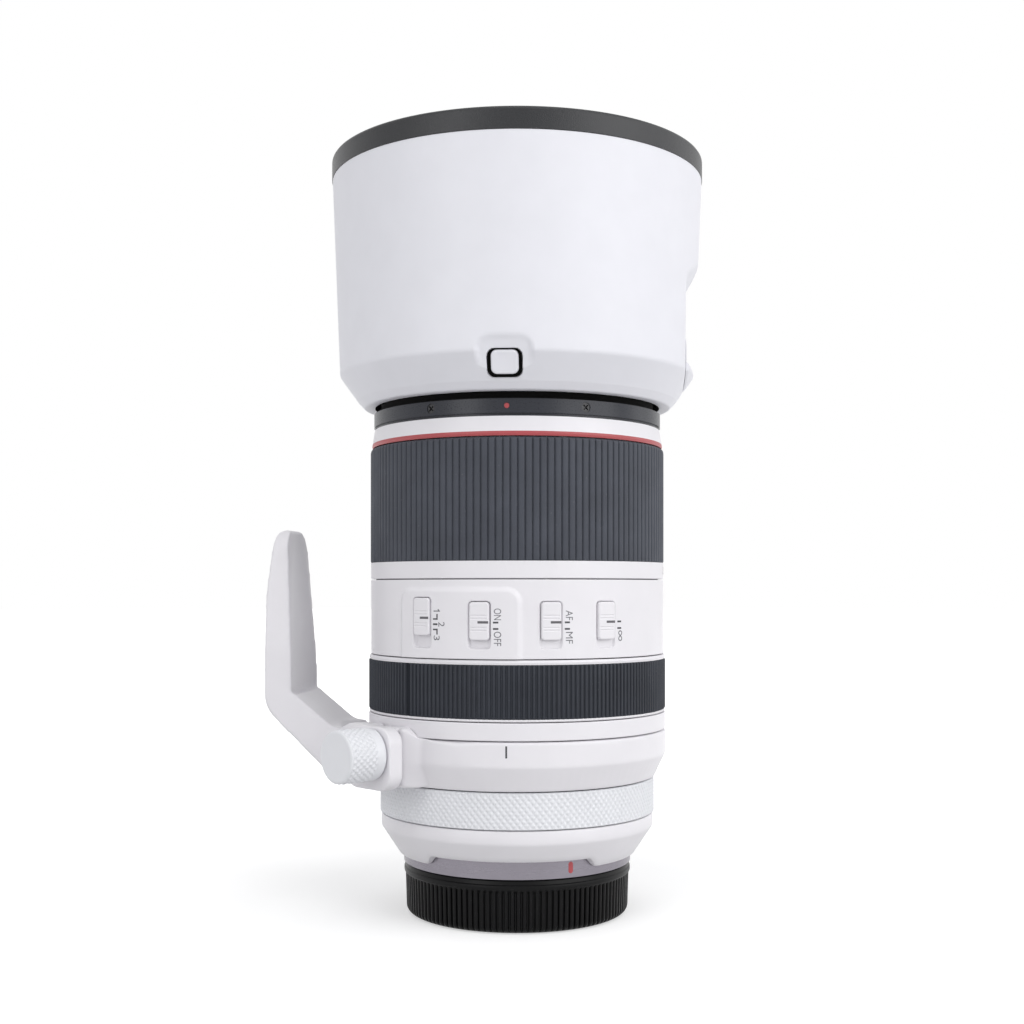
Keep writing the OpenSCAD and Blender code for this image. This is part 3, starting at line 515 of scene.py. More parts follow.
# Ribs from groove to groove, as share of the pitch and height
ZOOM_RIB = [(0.0, 0.0), (0.05, 0.05), (0.09, 0.5), (0.14, 0.74), (0.22, 0.88), (0.34, 0.97), (0.5, 1.0),
            (0.66, 0.97), (0.78, 0.88), (0.86, 0.74), (0.91, 0.5), (0.95, 0.05)]
zoom_top = BODY_R + 0.1
z0 = Z_SCALE + 0.02
z1 = Z_COVER - HALF_GAP
zoom_edge = [(z0, 0.4), (z0 + 0.12, 0.15), (z0 + 0.4, 0.0), (z0 + 8, 0.0), (z0 + 16, 0.0), (z0 + 24, 0.0),
             (z1 - 1.3, 0.0), (z1 - 0.8, 0.06), (z1 - 0.45, 0.18), (z1 - 0.2, 0.36), (z1 - 0.05, 0.6),
             (z1, 0.8)]
angles, depth = rib_rows(ZOOM_RIBS, ZOOM_RIB)
rows = grip_rows(zoom_top, ZOOM_RIB_DEEP * depth, zoom_edge)
rows += [(ZOOM_GRIP_IN, z1), (ZOOM_GRIP_IN, z0)]
turned("zoom_grip_rubber", angles, rows, "zoom_ring", "black_rubber", ZOOM_RUBBER, "zoom_grip", sharp=60)

FOCUS_RIB = [(0.0, 0.0), (0.15, 0.0), (0.25, 0.6), (0.34, 0.94), (0.5, 1.0), (0.66, 0.94), (0.75, 0.6),
             (0.85, 0.0)]
z0 = Z_FOCUS + HALF_GAP + 0.65
z1 = Z_SWITCH - HALF_GAP - 1.25
focus_edge = [(z0, 0.45), (z0 + 0.15, 0.15), (z0 + 0.4, 0.0), (z0 + 5, 0.0), (z0 + 10, 0.0),
              (z1 - 0.4, 0.0), (z1 - 0.15, 0.15), (z1, 0.45)]
angles, depth = rib_rows(FOCUS_RIBS, FOCUS_RIB, seam=FOCUS_SEAM)
rows = grip_rows(FOCUS_R, FOCUS_RIB_DEEP * depth, focus_edge)
rows += [(FOCUS_GRIP_IN, z1), (FOCUS_GRIP_IN, z0)]
turned("focus_grip_rubber", angles, rows, "focus_ring", "black_rubber", FOCUS_RUBBER, "focus_grip", sharp=60)

CAP_RIB = [(0.0, 0.0), (0.1, 0.0), (0.18, 0.5), (0.26, 0.92), (0.36, 1.0), (0.5, 1.0),
           (0.64, 1.0), (0.74, 0.92), (0.82, 0.5), (0.9, 0.0)]
angles, depth = rib_rows(CAP_RIBS, CAP_RIB)
cap_top = Z_FLANGE - 0.3
foot_r = CAP_R - 0.7 - CAP_FILLET
rows = [(CAP_CORE_R, 0.5), (CAP_DISH_R, 0.5), (CAP_DISH_R + 0.5, 0.0), (foot_r, 0.0)]
for step in range(1, 6):
    a = math.radians(18 * step)
    sunk = CAP_RIB_DEEP * smooth((step - 1) / 3)
    rows.append((foot_r + CAP_FILLET * math.sin(a) - sunk * depth, CAP_FILLET * (1 - math.cos(a))))
rows += [(CAP_RIB_R - 0.13 - CAP_RIB_DEEP * depth, 7.0), (CAP_RIB_R - CAP_RIB_DEEP * depth, 11.2)]
rows += [(CAP_RIB_R - 0.6 * depth, 11.7), (CAP_RIB_R + 0.04 - 0.25 * depth, 12.0), (CAP_R - 0.3, 12.2)]
rows += [(CAP_R - 0.06, 12.4), (CAP_R, 12.6), (CAP_R, 13.5), (CAP_R - 0.1, 13.75), (CAP_R - 0.35, 13.85)]
rows += [(CAP_RIB_R, 13.95), (CAP_RIB_R, cap_top - 0.3), (CAP_R - 0.7, cap_top)]
rows += [(CAP_R - CAP_WALL, cap_top), (CAP_R - CAP_WALL, CAP_FLOOR), (CAP_CORE_R, CAP_FLOOR)]
turned("rear_cap_shell", angles, rows, "rear_cap", "black_plastic", CAP_PLASTIC, "rear_cap", sharp=50)


# Knurled rings


KNURL_PITCH = 1.81
KNURL_ROWS = 1.07
KNURL_DEEP = 0.36
KNURL_STEPS = 8
KNURL_SHARP = 82


def knurled(diamonds, before, low, high, top, after):
    """Points and faces of a closed ring: plain rows, a knurl of soft diamonds, and plain rows back"""
    columns = diamonds * KNURL_STEPS
    turn = np.arange(columns) * 360 / columns
    step = 2 * KNURL_ROWS / KNURL_STEPS
    count = int((high - low) / step)
    start = low + (high - low - count * step) / 2
    rows = list(before)
    for j in range(count + 1):
        p = (np.arange(columns) + j) / KNURL_STEPS
        q = (np.arange(columns) - j) / KNURL_STEPS
        rise = np.abs(np.sin(math.pi * p) * np.sin(math.pi * q))
        rows.append((top - KNURL_DEEP * (1 - rise), start + j * step))
    rows += after
    verts = np.concatenate([around(turn, r, z) for r, z in rows])
    faces = []
    for a, b, c, d in loop_faces(columns, len(rows)):
        j, i = divmod(a, columns)
        inside = len(before) <= j < len(before) + count
        if not inside:
            faces.append((a, b, c, d))
            continue
        k = j - len(before)
        groove = min((i + k + 1) % KNURL_STEPS, -(i + k + 1) % KNURL_STEPS)
        other = min((i - k) % KNURL_STEPS, -(i - k) % KNURL_STEPS)
        faces += [(a, b, d), (b, c, d)] if groove < other else [(a, b, c), (a, c, d)]
    return verts, faces, columns


z0 = Z_CONTROL + HALF_GAP
z1 = Z_COLLAR - HALF_GAP
base = CONTROL_R - KNURL_DEEP
verts, faces, _ = knurled(
    round(2 * math.pi * CONTROL_R / KNURL_PITCH),
    [(FRAME_R + 0.35, z0), (base - 0.1, z0), (base, z0 + 0.12)],
    z0 + 0.2, z1 - 0.2, CONTROL_R,
    [(base, z1 - 0.12), (base - 0.1, z1), (FRAME_R + 0.35, z1)],
)
piece("control_ring_knurl", verts, faces, "control_ring", "white_paint", WHITE_KNURL, "control_ring",
      sharp=KNURL_SHARP)

plain = KNOB_R - 0.16
knob_foot = [(KNOB_SHAFT_R, KNOB_SHAFT_START), (KNOB_SHAFT_R, KNOB_START), (KNOB_R - 0.5, KNOB_START),
             (plain - 0.05, KNOB_START + 0.25), (plain, KNOB_START + 0.5), (plain, KNOB_START + 2.9),
             (plain - 0.12, KNOB_START + 3.1)]
knob_face = [(plain - 0.12, KNOB_END - 0.65), (plain - 0.05, KNOB_END - 0.55), (plain - 0.1, KNOB_END - 0.35),
             (KNOB_R - 0.6, KNOB_END - 0.1), (KNOB_R - 1.1, KNOB_END - 0.02), (KNOB_R - 1.4, KNOB_END - 0.06),
             (KNOB_FACE_R, KNOB_END - 0.04), (KNOB_CORE_R, KNOB_END - 0.04), (KNOB_CORE_R, KNOB_SHAFT_START)]
verts, faces, columns = knurled(
    round(2 * math.pi * KNOB_R / KNURL_PITCH),
    knob_foot, KNOB_START + 3.2, KNOB_END - 0.75, KNOB_R, knob_face,
)
verts = verts * np.array([1, -1, 1])
verts = place(verts, KNOB_ANGLE, KNOB_Z)
faces = [tuple(reversed(f)) for f in faces]
last = len(verts) // columns - 2
faces.append(tuple(last * columns + i for i in range(columns)))
piece("collar_knob_knurl", verts, faces, "collar_knob", "white_paint", WHITE_KNURL, "collar_knob",
      sharp=KNURL_SHARP)


# Rear skirt

turn = np.linspace(-180, 180, 360, endpoint=False)
notch = smooth((NOTCH_HALF - np.abs(turn)) / NOTCH_FLANK)
edge = SKIRT_LOW + NOTCH_RISE * notch


def cone(z):
    """Radius of the skirt's lower cone at a height"""
    slope = (SKIRT_R - 0.15 - SKIRT_LOW_R) / (SKIRT_CORNER - SKIRT_LOW)
    return SKIRT_LOW_R + (np.asarray(z) - SKIRT_LOW) * slope


rows = [(MOUNT_R + 0.12, edge), (cone(edge) - 0.45, edge), (cone(edge) - 0.15, edge + 0.06),
        (cone(edge + 0.3), edge + 0.3)]
for part in (0.3, 0.6, 0.88):
    z = edge + 0.3 + (SKIRT_CORNER - 0.6 - edge) * part
    rows.append((cone(z), z))
rows += [(SKIRT_R - 0.32, SKIRT_CORNER - 0.25), (SKIRT_R - 0.1, SKIRT_CORNER + 0.15)]
rows += [(SKIRT_R, SKIRT_CORNER + 0.7), (SKIRT_R, Z_CONTROL - 0.5), (SKIRT_R - 0.1, Z_CONTROL - 0.25)]
rows += [(SKIRT_R - 0.3, Z_CONTROL - HALF_GAP), (FRAME_R, Z_CONTROL - HALF_GAP), (FRAME_R, SKIRT_CORNER)]
rows += [(MOUNT_R + 0.12, edge + 0.8)]
turned("rear_skirt_shell", turn, rows, "barrel", "white_paint", WHITE_PAINT, "rear_skirt", sharp=40)


# Switch shell with its raised panel and slots

fine = np.arange(-48.0, 46.01, 0.22)
coarse = np.arange(48.5, 310.0, 2.5)
turn = np.concatenate([fine, coarse])
z0 = Z_SWITCH + HALF_GAP
z1 = Z_ZOOM - HALF_GAP
low_edge = [z0, z0 + 0.05, z0 + 0.12]
high_edge = [z1 - 0.22, z1 - 0.1, z1 - 0.03, z1]
heights = np.concatenate([low_edge, np.arange(z0 + 0.25, z1 - 0.3, 0.17), high_edge])
panel_w = math.radians(PANEL_A1 - PANEL_A0) * BODY_R
panel_mid = (PANEL_A0 + PANEL_A1) / 2
signed = (turn + 180) % 360 - 180
across = np.radians(signed - panel_mid) * BODY_R
rows = []
for z in heights:
    rim = box_distance(across, z - (PANEL_TOP - PANEL_H / 2), panel_w, PANEL_H, PANEL_CORNER)
    r = BODY_R + PANEL_PROUD * smooth(0.5 - rim / PANEL_BEVEL)
    drop = max(SHELL_ROUND - (z - z0), SHELL_ROUND - (z1 - z), 0.0)
    r = r - (SHELL_ROUND - math.sqrt(max(SHELL_ROUND ** 2 - drop ** 2, 0.0)))
    for name, angle in SWITCH_ANGLES.items():
        tall = SLOT_H + (SLOT_EXTRA if name == "switch_mode" else 0.0)
        lean = np.radians(signed - angle)
        middle = SLOT_TOP - SLOT_H + tall / 2
        inside = box_distance(r * np.sin(lean), z - middle, SLOT_W, tall, SLOT_CORNER)
        near = np.abs(lean) < 0.2
        part = np.where(near, smooth((0.12 - inside) / 0.26), 0.0)
        floor = SLOT_FLOOR / np.cos(np.where(near, lean, 0.0))
        r = r + (floor - r) * part
    rows.append((r, z))
rows += [(SHELL_IN, z1), (SHELL_IN, z0)]
turned("switch_shell_body", turn, rows, "barrel", "white_paint", WHITE_PAINT, "switch_shell", sharp=80)


# Switch sliders

LINE_PAIRS = (1.5, 0.65, -1.8, -2.6)
LINE_DEEP = 0.16
LINE_HALF = 0.26
SLIDER_FILLET = 0.42
INDEX_W = 0.66


def slab(w, h, r, nx, ny, top, bottom, mid=0.0):
    """Points and faces of a rounded key: a grid for its face, with walls down to bottom"""
    u = np.sin(np.linspace(-1, 1, nx) * math.pi / 2)
    v = np.linspace(-1, 1, ny)
    x, y = np.meshgrid(u * w / 2, v * h / 2)
    cx = np.clip(x, -w / 2 + r, w / 2 - r)
    cy = np.clip(y, -h / 2 + r, h / 2 - r)
    far = np.hypot(x - cx, y - cy)
    pull = np.where(far > r, r / np.maximum(far, 1e-9), 1.0)
    x = cx + (x - cx) * pull
    y = cy + (y - cy) * pull
    face = np.stack([x.ravel(), y.ravel() + mid, top(x, y).ravel()], axis=1)
    faces = []
    for j in range(ny - 1):
        for i in range(nx - 1):
            a = j * nx + i
            faces.append((a, a + 1, a + nx + 1, a + nx))
    ring = list(range(nx)) + [j * nx + nx - 1 for j in range(1, ny)]
    ring += [(ny - 1) * nx + i for i in range(nx - 2, -1, -1)] + [j * nx for j in range(ny - 2, 0, -1)]
    base = face[ring].copy()
    base[:, 2] = bottom
    start = len(face)
    for k, a in enumerate(ring):
        n = (k + 1) % len(ring)
        faces.append((a, start + k, start + n, ring[n]))
    faces.append(tuple(start + k for k in reversed(range(len(ring)))))
    return np.concatenate([face, base]), faces


def edge_drop(x, y, w, h, r, fillet):
    """How far a key's face falls towards its rounded edge"""
    inset = np.clip(-box_distance(x, y, w, h, r), 0, fillet)
    return fillet - np.sqrt(np.maximum(fillet ** 2 - (fillet - inset) ** 2, 0))


def stroke(points, width, closed=False):
    """Points and faces of a flat line of constant width in the plane"""
    pts = np.asarray(points, float)
    ahead = np.roll(pts, -1, axis=0)
    back = np.roll(pts, 1, axis=0)
    if not closed:
        ahead[-1] = pts[-1] + (pts[-1] - pts[-2])
        back[0] = pts[0] - (pts[1] - pts[0])
    d1 = (pts - back) / np.linalg.norm(pts - back, axis=1)[:, None]
    d2 = (ahead - pts) / np.linalg.norm(ahead - pts, axis=1)[:, None]
    n1 = np.stack([-d1[:, 1], d1[:, 0]], axis=1)
    n2 = np.stack([-d2[:, 1], d2[:, 0]], axis=1)
    miter = n1 + n2
    miter /= np.maximum((miter * n1).sum(axis=1), 0.4)[:, None]
    left = pts + miter * width / 2
    right = pts - miter * width / 2
    n = len(pts)
    last = n if closed else n - 1
    faces = [(n + i, n + (i + 1) % n, (i + 1) % n, i) for i in range(last)]
    return np.concatenate([left, right]), faces


def lettering(text, high, long):
    """Points and faces of a word, fitted to a height and a length and centred"""
    curve = bpy.data.curves.new("letters", "FONT")
    curve.body = text
    holder = bpy.data.objects.new("letters", curve)
    scene.collection.objects.link(holder)
    graph = bpy.context.evaluated_depsgraph_get()
    mesh = bpy.data.meshes.new_from_object(holder.evaluated_get(graph))
    pts = np.array([v.co[:2] for v in mesh.vertices])
    faces = [tuple(f.vertices) for f in mesh.polygons]
    bpy.data.objects.remove(holder)
    bpy.data.meshes.remove(mesh)
    bpy.data.curves.remove(curve)
    low, top = pts.min(axis=0), pts.max(axis=0)
    pts = (pts - (low + top) / 2) * np.array([long, high]) / (top - low)
    return pts, faces


class Print:
    """Marks that are printed on a ring and make one piece"""

    def __init__(self):
        self.verts = []
        self.faces = []

    def add(self, shape, angle, z, r, down=False):
        """A flat shape wrapped on radius r; down turns its reading direction downwards"""
        pts, faces = shape
        if down:
            pts = np.stack([pts[:, 1], -pts[:, 0]], axis=1)
        start = sum(len(v) for v in self.verts)
        turn = angle + np.degrees(pts[:, 0] / r)
        self.verts.append(around(turn, r + 0.02, z + pts[:, 1]))
        self.faces += [tuple(start + k for k in f) for f in faces]

    def make(self, name, body, slot, material):
        """The piece itself"""
        piece(name, np.concatenate(self.verts), self.faces, body, slot, material)


def slider_face(top):
    """Height of a slider's face, rounded with the barrel, with its two pairs of grip lines"""

    def height(x, y):
        r = np.sqrt(top ** 2 - x ** 2) - edge_drop(x, y, SLIDER_W, SLIDER_H, SLIDER_CORNER, SLIDER_FILLET)
        across = smooth((x + SLIDER_W / 2 - 0.25) / 0.25) * smooth((SLIDER_W / 2 - 0.5 - x) / 0.25)
        for line in LINE_PAIRS:
            r = r - LINE_DEEP * across * smooth(1 - np.abs(y - line) / LINE_HALF)
        return r

    return height


for name, angle in SWITCH_ANGLES.items():
    top = BODY_R + 0.7 + (PANEL_PROUD * 0.6 if angle < 0 else 0.0)
    verts, faces = slab(SLIDER_W, SLIDER_H, SLIDER_CORNER, nx=29, ny=131, top=slider_face(top),
                        bottom=SLOT_FLOOR + 0.35)
    rise = SLOT_EXTRA if name == "switch_mode" else 0.0
    piece(name + "_key", place(verts, angle, SLIDER_Z + rise), faces, name, "white_paint", WHITE_PAINT, name,
          sharp=70)
    bar = Print()
    bar.add(stroke([(-0.32, 0), (0.05, 0), (SLIDER_W / 2 - 0.32, 0), (SLIDER_W / 2 - 0.12, 0)], INDEX_W),
            angle, SLIDER_Z - 0.3 + rise, top)
    bar.make(name + "_index", name, "black_plastic", INDEX_PRINT)


# Printed marks

# Angles of the marks beside each switch, and the height of their letters and figures
MODE_TICKS = -26.5
STABILIZER_TICKS = -3.7
STABILIZER_WORDS = -3.05
FOCUS_TICKS = 21.95
FOCUS_WORDS = 22.7
LIMITER_TICKS = 44.1
LIMITER_SIGN = 44.6
WORD_H = 2.05
FIGURE_H = 1.95
SCALE_H = 2.2

TICK = stroke([(-0.75, 0), (0.75, 0)], 0.5)
panel_r = BODY_R + PANEL_PROUD
words = Print()
ticks = Print()
words.add(lettering("ON", WORD_H, 3.15), STABILIZER_WORDS, 90.3, panel_r, down=True)
words.add(lettering("OFF", WORD_H, 3.9), STABILIZER_WORDS, 83.6, panel_r, down=True)
one = stroke([(-0.42, 0.5), (0.1, 0.95), (0.1, -0.95)], 0.32)
words.add(one, MODE_TICKS + 0.5, 91.2, panel_r, down=True)
words.add(lettering("2", FIGURE_H, 1.3), MODE_TICKS + 2.6, 87.45, panel_r, down=True)
words.add(lettering("3", FIGURE_H, 1.3), MODE_TICKS + 0.6, 83.65, panel_r, down=True)
words.add(lettering("AF", WORD_H, 2.7), FOCUS_WORDS, 90.0, BODY_R, down=True)
words.add(lettering("MF", WORD_H, 3.2), FOCUS_WORDS, 83.8, BODY_R, down=True)
turn = np.linspace(0, 2 * math.pi, 40, endpoint=False)
loop = np.stack([1.35 * np.cos(turn), 1.7 * np.sin(turn) * np.cos(turn)], axis=1)
loop /= (1 + np.sin(turn) ** 2)[:, None]
words.add(stroke(loop, 0.3, closed=True), LIMITER_SIGN, 84.1, BODY_R, down=True)
for angle, z, r in ((STABILIZER_TICKS, 88.05, panel_r), (STABILIZER_TICKS, 86.3, panel_r),
                    (MODE_TICKS, 87.45, panel_r), (FOCUS_TICKS, 88.05, BODY_R),
                    (FOCUS_TICKS, 86.25, BODY_R), (LIMITER_TICKS, 88.1, BODY_R),
                    (LIMITER_TICKS, 86.25, BODY_R)):
    ticks.add(TICK, angle, z, r)
ticks.add(stroke([(-0.75, -0.6), (0.6, -0.6), (0.6, 0.8)], 0.42), MODE_TICKS, 89.5, panel_r)
ticks.add(stroke([(-0.75, 0.6), (0.6, 0.6), (0.6, -0.8)], 0.42), MODE_TICKS, 85.4, panel_r)
ticks.add(stroke([(0, -1.2), (0, 1.2)], 0.5), 176.0, 98.3, BODY_R)
words.make("switch_words", "barrel", "dark_metal", PRINT)
ticks.make("switch_ticks", "barrel", "black_plastic", DARK_PRINT)

index = Print()
index.add(stroke([(0, -1.65), (0, 1.65)], 0.5), 0.0, 52.6, COLLAR_R)
index.make("collar_index", "collar_jaw", "black_plastic", DARK_PRINT)

scale = Print()
for number, angle, long in (("70", 176.0, 2.6), ("100", 141.0, 3.7), ("135", 116.0, 3.7), ("200", 86.0, 3.9)):
    scale.add(lettering(number, SCALE_H, long), angle, (Z_ZOOM + Z_SCALE) / 2 + 0.2, BODY_R)
scale.make("zoom_numbers", "zoom_ring", "black_plastic", DARK_PRINT)


# Red marks


def dome(w, h, r, rise, angle, z, radius):
    """Points and faces of a small raised mark on a ring"""
    rings = [outline(w, h, r), outline(w * 0.8, h - w * 0.2, r * 0.8), outline(w * 0.4, h - w * 0.6, r * 0.4)]
    lift = [0.0, rise * 0.7, rise]
    count = len(rings[0])
    pts = np.concatenate([np.column_stack([flat, np.sqrt(radius ** 2 - flat[:, 0] ** 2) + up])
                          for flat, up in zip(rings, lift)])
    faces = loop_faces(count, 3, closed=False)
    faces.append(tuple(2 * count + i for i in range(count)))
    return place(pts, angle, z), faces


verts, faces = dome(w=1.45, h=3.3, r=0.7, rise=0.06, angle=30.0, z=18.35, radius=MOUNT_R)
piece("mount_index", verts, faces, "barrel", "red_paint", RED_PAINT)
verts, faces = dome(w=1.5, h=1.5, r=0.74, rise=0.08, angle=0.0, z=Z_FRONT + 2.8, radius=FRONT_R - 0.2)
piece("hood_index", verts, faces, "front_barrel", "red_paint", RED_PAINT)


# Hood

profile = rounded([(HOOD_BORE, Z_HOOD, 0), (HOOD_END_R, Z_HOOD, 1.2), (HOOD_STEP_R, Z_HOOD + HOOD_STEP, 1.2),
                   (HOOD_REAR_R, Z_CORNER, 2.4), (HOOD_FRONT_R, Z_RIM - 0.05, 0)])
profile = resample(profile, lambda z: 0.3 if z < 171 else 0.7 if z < 200 else 4.5)
lip = np.array([[HOOD_FRONT_R - LIP_IN, Z_RIM - 0.05], [HOOD_FRONT_R - LIP_IN, Z_RIM + LIP_H]])
outer = np.concatenate([profile, lip])
INNER_Z = Z_CORNER + 3
inner_base = np.array([[HOOD_BORE, Z_HOOD + 0.02], [HOOD_BORE, Z_CORNER - 0.6],
                       [HOOD_BORE + 2, Z_CORNER - 0.6], [HOOD_REAR_R - HOOD_WALL, INNER_Z]])
run = np.concatenate([[0], np.cumsum(np.linalg.norm(np.diff(inner_base, axis=0), axis=1))])
below = outer[:, 1] < INNER_Z
share = np.cumsum(np.concatenate([[0], np.linalg.norm(np.diff(outer, axis=0), axis=1)]))
share = share / share[below].max()
inner = np.empty_like(outer)
for k, (r, z) in enumerate(outer):
    if below[k]:
        inner[k] = [np.interp(share[k] * run[-1], run, column) for column in inner_base.T]
    else:
        flare = (HOOD_FRONT_R - HOOD_REAR_R) * min(1.0, (z - INNER_Z) / (Z_RIM - INNER_Z))
        inner[k] = [HOOD_REAR_R - HOOD_WALL + flare, z]
turn = np.concatenate([np.arange(-12, 12.01, 0.25), np.arange(14, 61, 2.5), np.arange(62, 118.1, 0.6),
                       np.arange(120, 348, 2.5)])


def window_level(z):
    """How far out the window's flat and its ramp lie at a height"""
    climb = (z - Z_RAMP) * RAMP_SLOPE
    return WINDOW_D + (climb + np.sqrt(climb ** 2 + 0.5)) / 2


def hood_points(line, deep):
    """One side of the hood wall; the outer side takes the button's pad and the window's flat"""
    p = np.stack([around(turn, r, z) for r, z in line])
    if deep:
        gap = box_distance(p[..., 1], p[..., 2] - (Z_HOOD + 25), WINDOW_W + 6, 36, 4.0)
        part = np.where(p[..., 0] > 30, smooth(0.5 - gap / 0.4), 0.0)
        p[..., 0] -= np.maximum(p[..., 0] - WINDOW_D + 3.0, 0.0) * part
        return p
    middle, side, up, out = pad_axes()
    rel = p - middle
    x, y, w = rel @ side, rel @ up, rel @ out
    front = (p[..., 1] < -30) & (np.abs(x) < 14)
    part = smooth((0.7 - box_distance(x, y, PAD_W, PAD_H, PAD_CORNER)) / 2.0)
    sink = np.where(front & (w > 0), w * part, 0.0)
    edge = box_distance(x, y + HOLE_LOW, HOLE_W, HOLE_H, HOLE_CORNER)
    sink = sink + np.where(front & (np.abs(y) < 8), HOLE_DEEP * smooth(0.5 - edge / 0.24), 0.0)
    p = p - sink[..., None] * out
    level = window_level(p[..., 2])
    over = p[..., 0] - level
    p[..., 0] = np.where(over > -4, level + (over - np.sqrt(over ** 2 + 0.12)) / 2, p[..., 0])
    return p


shell = np.stack([hood_points(outer, False), hood_points(inner, True)])
row_count, column_count = shell.shape[1:3]
mid_z = (outer[:-1, 1] + outer[1:, 1]) / 2
mid_a = (turn + np.roll(turn, -1)) / 2
mid_a[-1] = (turn[-1] + turn[0] + 360) / 2
open_row = (mid_z > Z_WINDOW) & (mid_z < Z_WINDOW + WINDOW_H)
open_column = np.abs(mid_a - 90) < math.degrees(math.atan((WINDOW_W - 5) / 2 / WINDOW_D))
side_size = row_count * column_count


def hood_index(side, j, i):
    """Place of a point in the hood's list"""
    return side * side_size + j * column_count + i % column_count


def hood_quad(side, j, i):
    """A face of one side of the hood wall, looking away from the wall"""
    quad = [hood_index(side, j, i), hood_index(side, j, i + 1)]
    quad += [hood_index(side, j + 1, i + 1), hood_index(side, j + 1, i)]
    return tuple(reversed(quad)) if side else tuple(quad)


def hood_edge(j, i, first):
    """A face across the hood wall along a row, starting on the side called first"""
    other = 1 - first
    return (hood_index(first, j, i), hood_index(first, j, i + 1), hood_index(other, j, i + 1),
            hood_index(other, j, i))


faces = []
lining = []
for j in range(row_count - 1):
    for i in range(column_count):
        if open_row[j] and open_column[i]:
            continue
        faces.append(hood_quad(0, j, i))
        lining.append(hood_quad(1, j, i))
for i in range(column_count):
    faces.append(hood_edge(0, i, 1))
    faces.append(hood_edge(row_count - 1, i, 0))
open_rows = np.flatnonzero(open_row)
open_columns = np.flatnonzero(open_column)
for i in open_columns:
    for j, flip in ((open_rows[0], False), (open_rows[-1] + 1, True)):
        wall = hood_edge(j, i, 0)
        faces.append(tuple(reversed(wall)) if flip else wall)
for j in open_rows:
    for i, flip in ((open_columns[0], True), (open_columns[-1] + 1, False)):
        wall = (hood_index(0, j, i), hood_index(0, j + 1, i), hood_index(1, j + 1, i), hood_index(1, j, i))
        faces.append(wall if flip else tuple(reversed(wall)))
shell = shell.reshape(-1, 3)
lining = [tuple(k - side_size for k in f) for f in lining]
piece("hood_shell_body", shell, faces, "hood", "white_plastic", WHITE_HOOD, "hood_shell", sharp=50)
piece("hood_shell_inside", shell[side_size:], lining, "hood", "black_plastic", BLACK_PLASTIC, sharp=50)


def button_face(x, y):
    """Face of the hood button, a shallow dish with rounded edges"""
    dish = (1 - (2 * x / BUTTON_W) ** 2) * (1 - (2 * y / BUTTON_H) ** 2)
    return 0.18 - edge_drop(x, y, BUTTON_W, BUTTON_H, BUTTON_CORNER, 0.5) - 0.12 * dish


verts, faces = slab(BUTTON_W, BUTTON_H, BUTTON_CORNER, nx=33, ny=41, top=button_face, bottom=-1.1,
                    mid=-BUTTON_LOW)
piece("hood_button_key", pad_frame(verts), faces, "hood_button", "white_plastic", WHITE_HOOD, "hood_button",
      sharp=70)

# A black lining in the gap round the hood button, painted shade for the dark gap
rims = [(outline(HOLE_W - 0.05, HOLE_H - 0.05, HOLE_CORNER), HOLE_LOW, -0.12),
        (outline(HOLE_W - 0.5, HOLE_H - 0.4, 2.0), HOLE_LOW, -0.4),
        (outline(BUTTON_W + 0.1, BUTTON_H + 0.1, BUTTON_CORNER + 0.02), BUTTON_LOW, -0.75)]
pts = np.concatenate([np.column_stack([flat - [0, low], np.full(len(flat), up)]) for flat, low, up in rims])
faces = [tuple(reversed(f)) for f in loop_faces(len(rims[0][0]), 3, closed=False)]
piece("hood_button_gap_shade", pad_frame(pts), faces, "hood", "black_plastic", PAINTED_GAP_SHADE)

# Thickness of the door's plate over the flat, and the slope of its tab's front end
DOOR_PLATE = 0.3
TAB_SLOPE = 1.1
door = softened("hood_window_door", "hood_window", 0.22, 4, "hood_window", WHITE_HOOD)
for vertex in door.data.vertices:
    x, y, z = vertex.co / MM
    x -= 0.31 * smooth((WINDOW_D + 0.9 - x) / 0.5)
    plate = max(smooth((z - Z_WINDOW - 2.1) / 0.6), smooth((abs(y) - WINDOW_W / 2 + 1.3) / 0.3))
    x -= max(x - WINDOW_D - DOOR_PLATE, 0.0) * plate
    x = min(x, WINDOW_D + DOOR_PLATE + TAB_SLOPE * max(Z_WINDOW + 0.4 - z, 0.0))
    vertex.co.x = x * MM


# Tripod collar and foot

softened("tripod_foot_body", "tripod_foot", 0.45, 12, "collar", WHITE_PAINT)


def polar(p):
    """Radius and angle round the lens of points"""
    return np.hypot(p[:, 0], p[:, 1]), np.degrees(np.arctan2(p[:, 0], -p[:, 1]))


def near_ear(p):
    """1 on the jaw's ear beside the clamp plate, 0 on the rest of the jaw and in its bore"""
    r, a = polar(p)
    return smooth((r - 41.8) / 1.2) * smooth((a + 55) / 4) * smooth((-10 - a) / 8)


def near_shoulder(p):
    """1 on the band's shoulder between the foot and the clamp plate, and along its top to the ring"""
    r, a = polar(p)
    reach = -56 + 9 * smooth((p[:, 2] - 53) / 1.5)
    return smooth((r - 44.6) / 1.2) * smooth((a + 96) / 6) * smooth((reach - a) / 6)


softened("collar_band_body", "collar_band", 0.34, 8, "collar", WHITE_PAINT, near_shoulder, 40)
jaw = softened("collar_jaw_body", "collar_jaw", 0.34, 8, "collar_jaw", WHITE_PAINT,
               near_ear, 24)

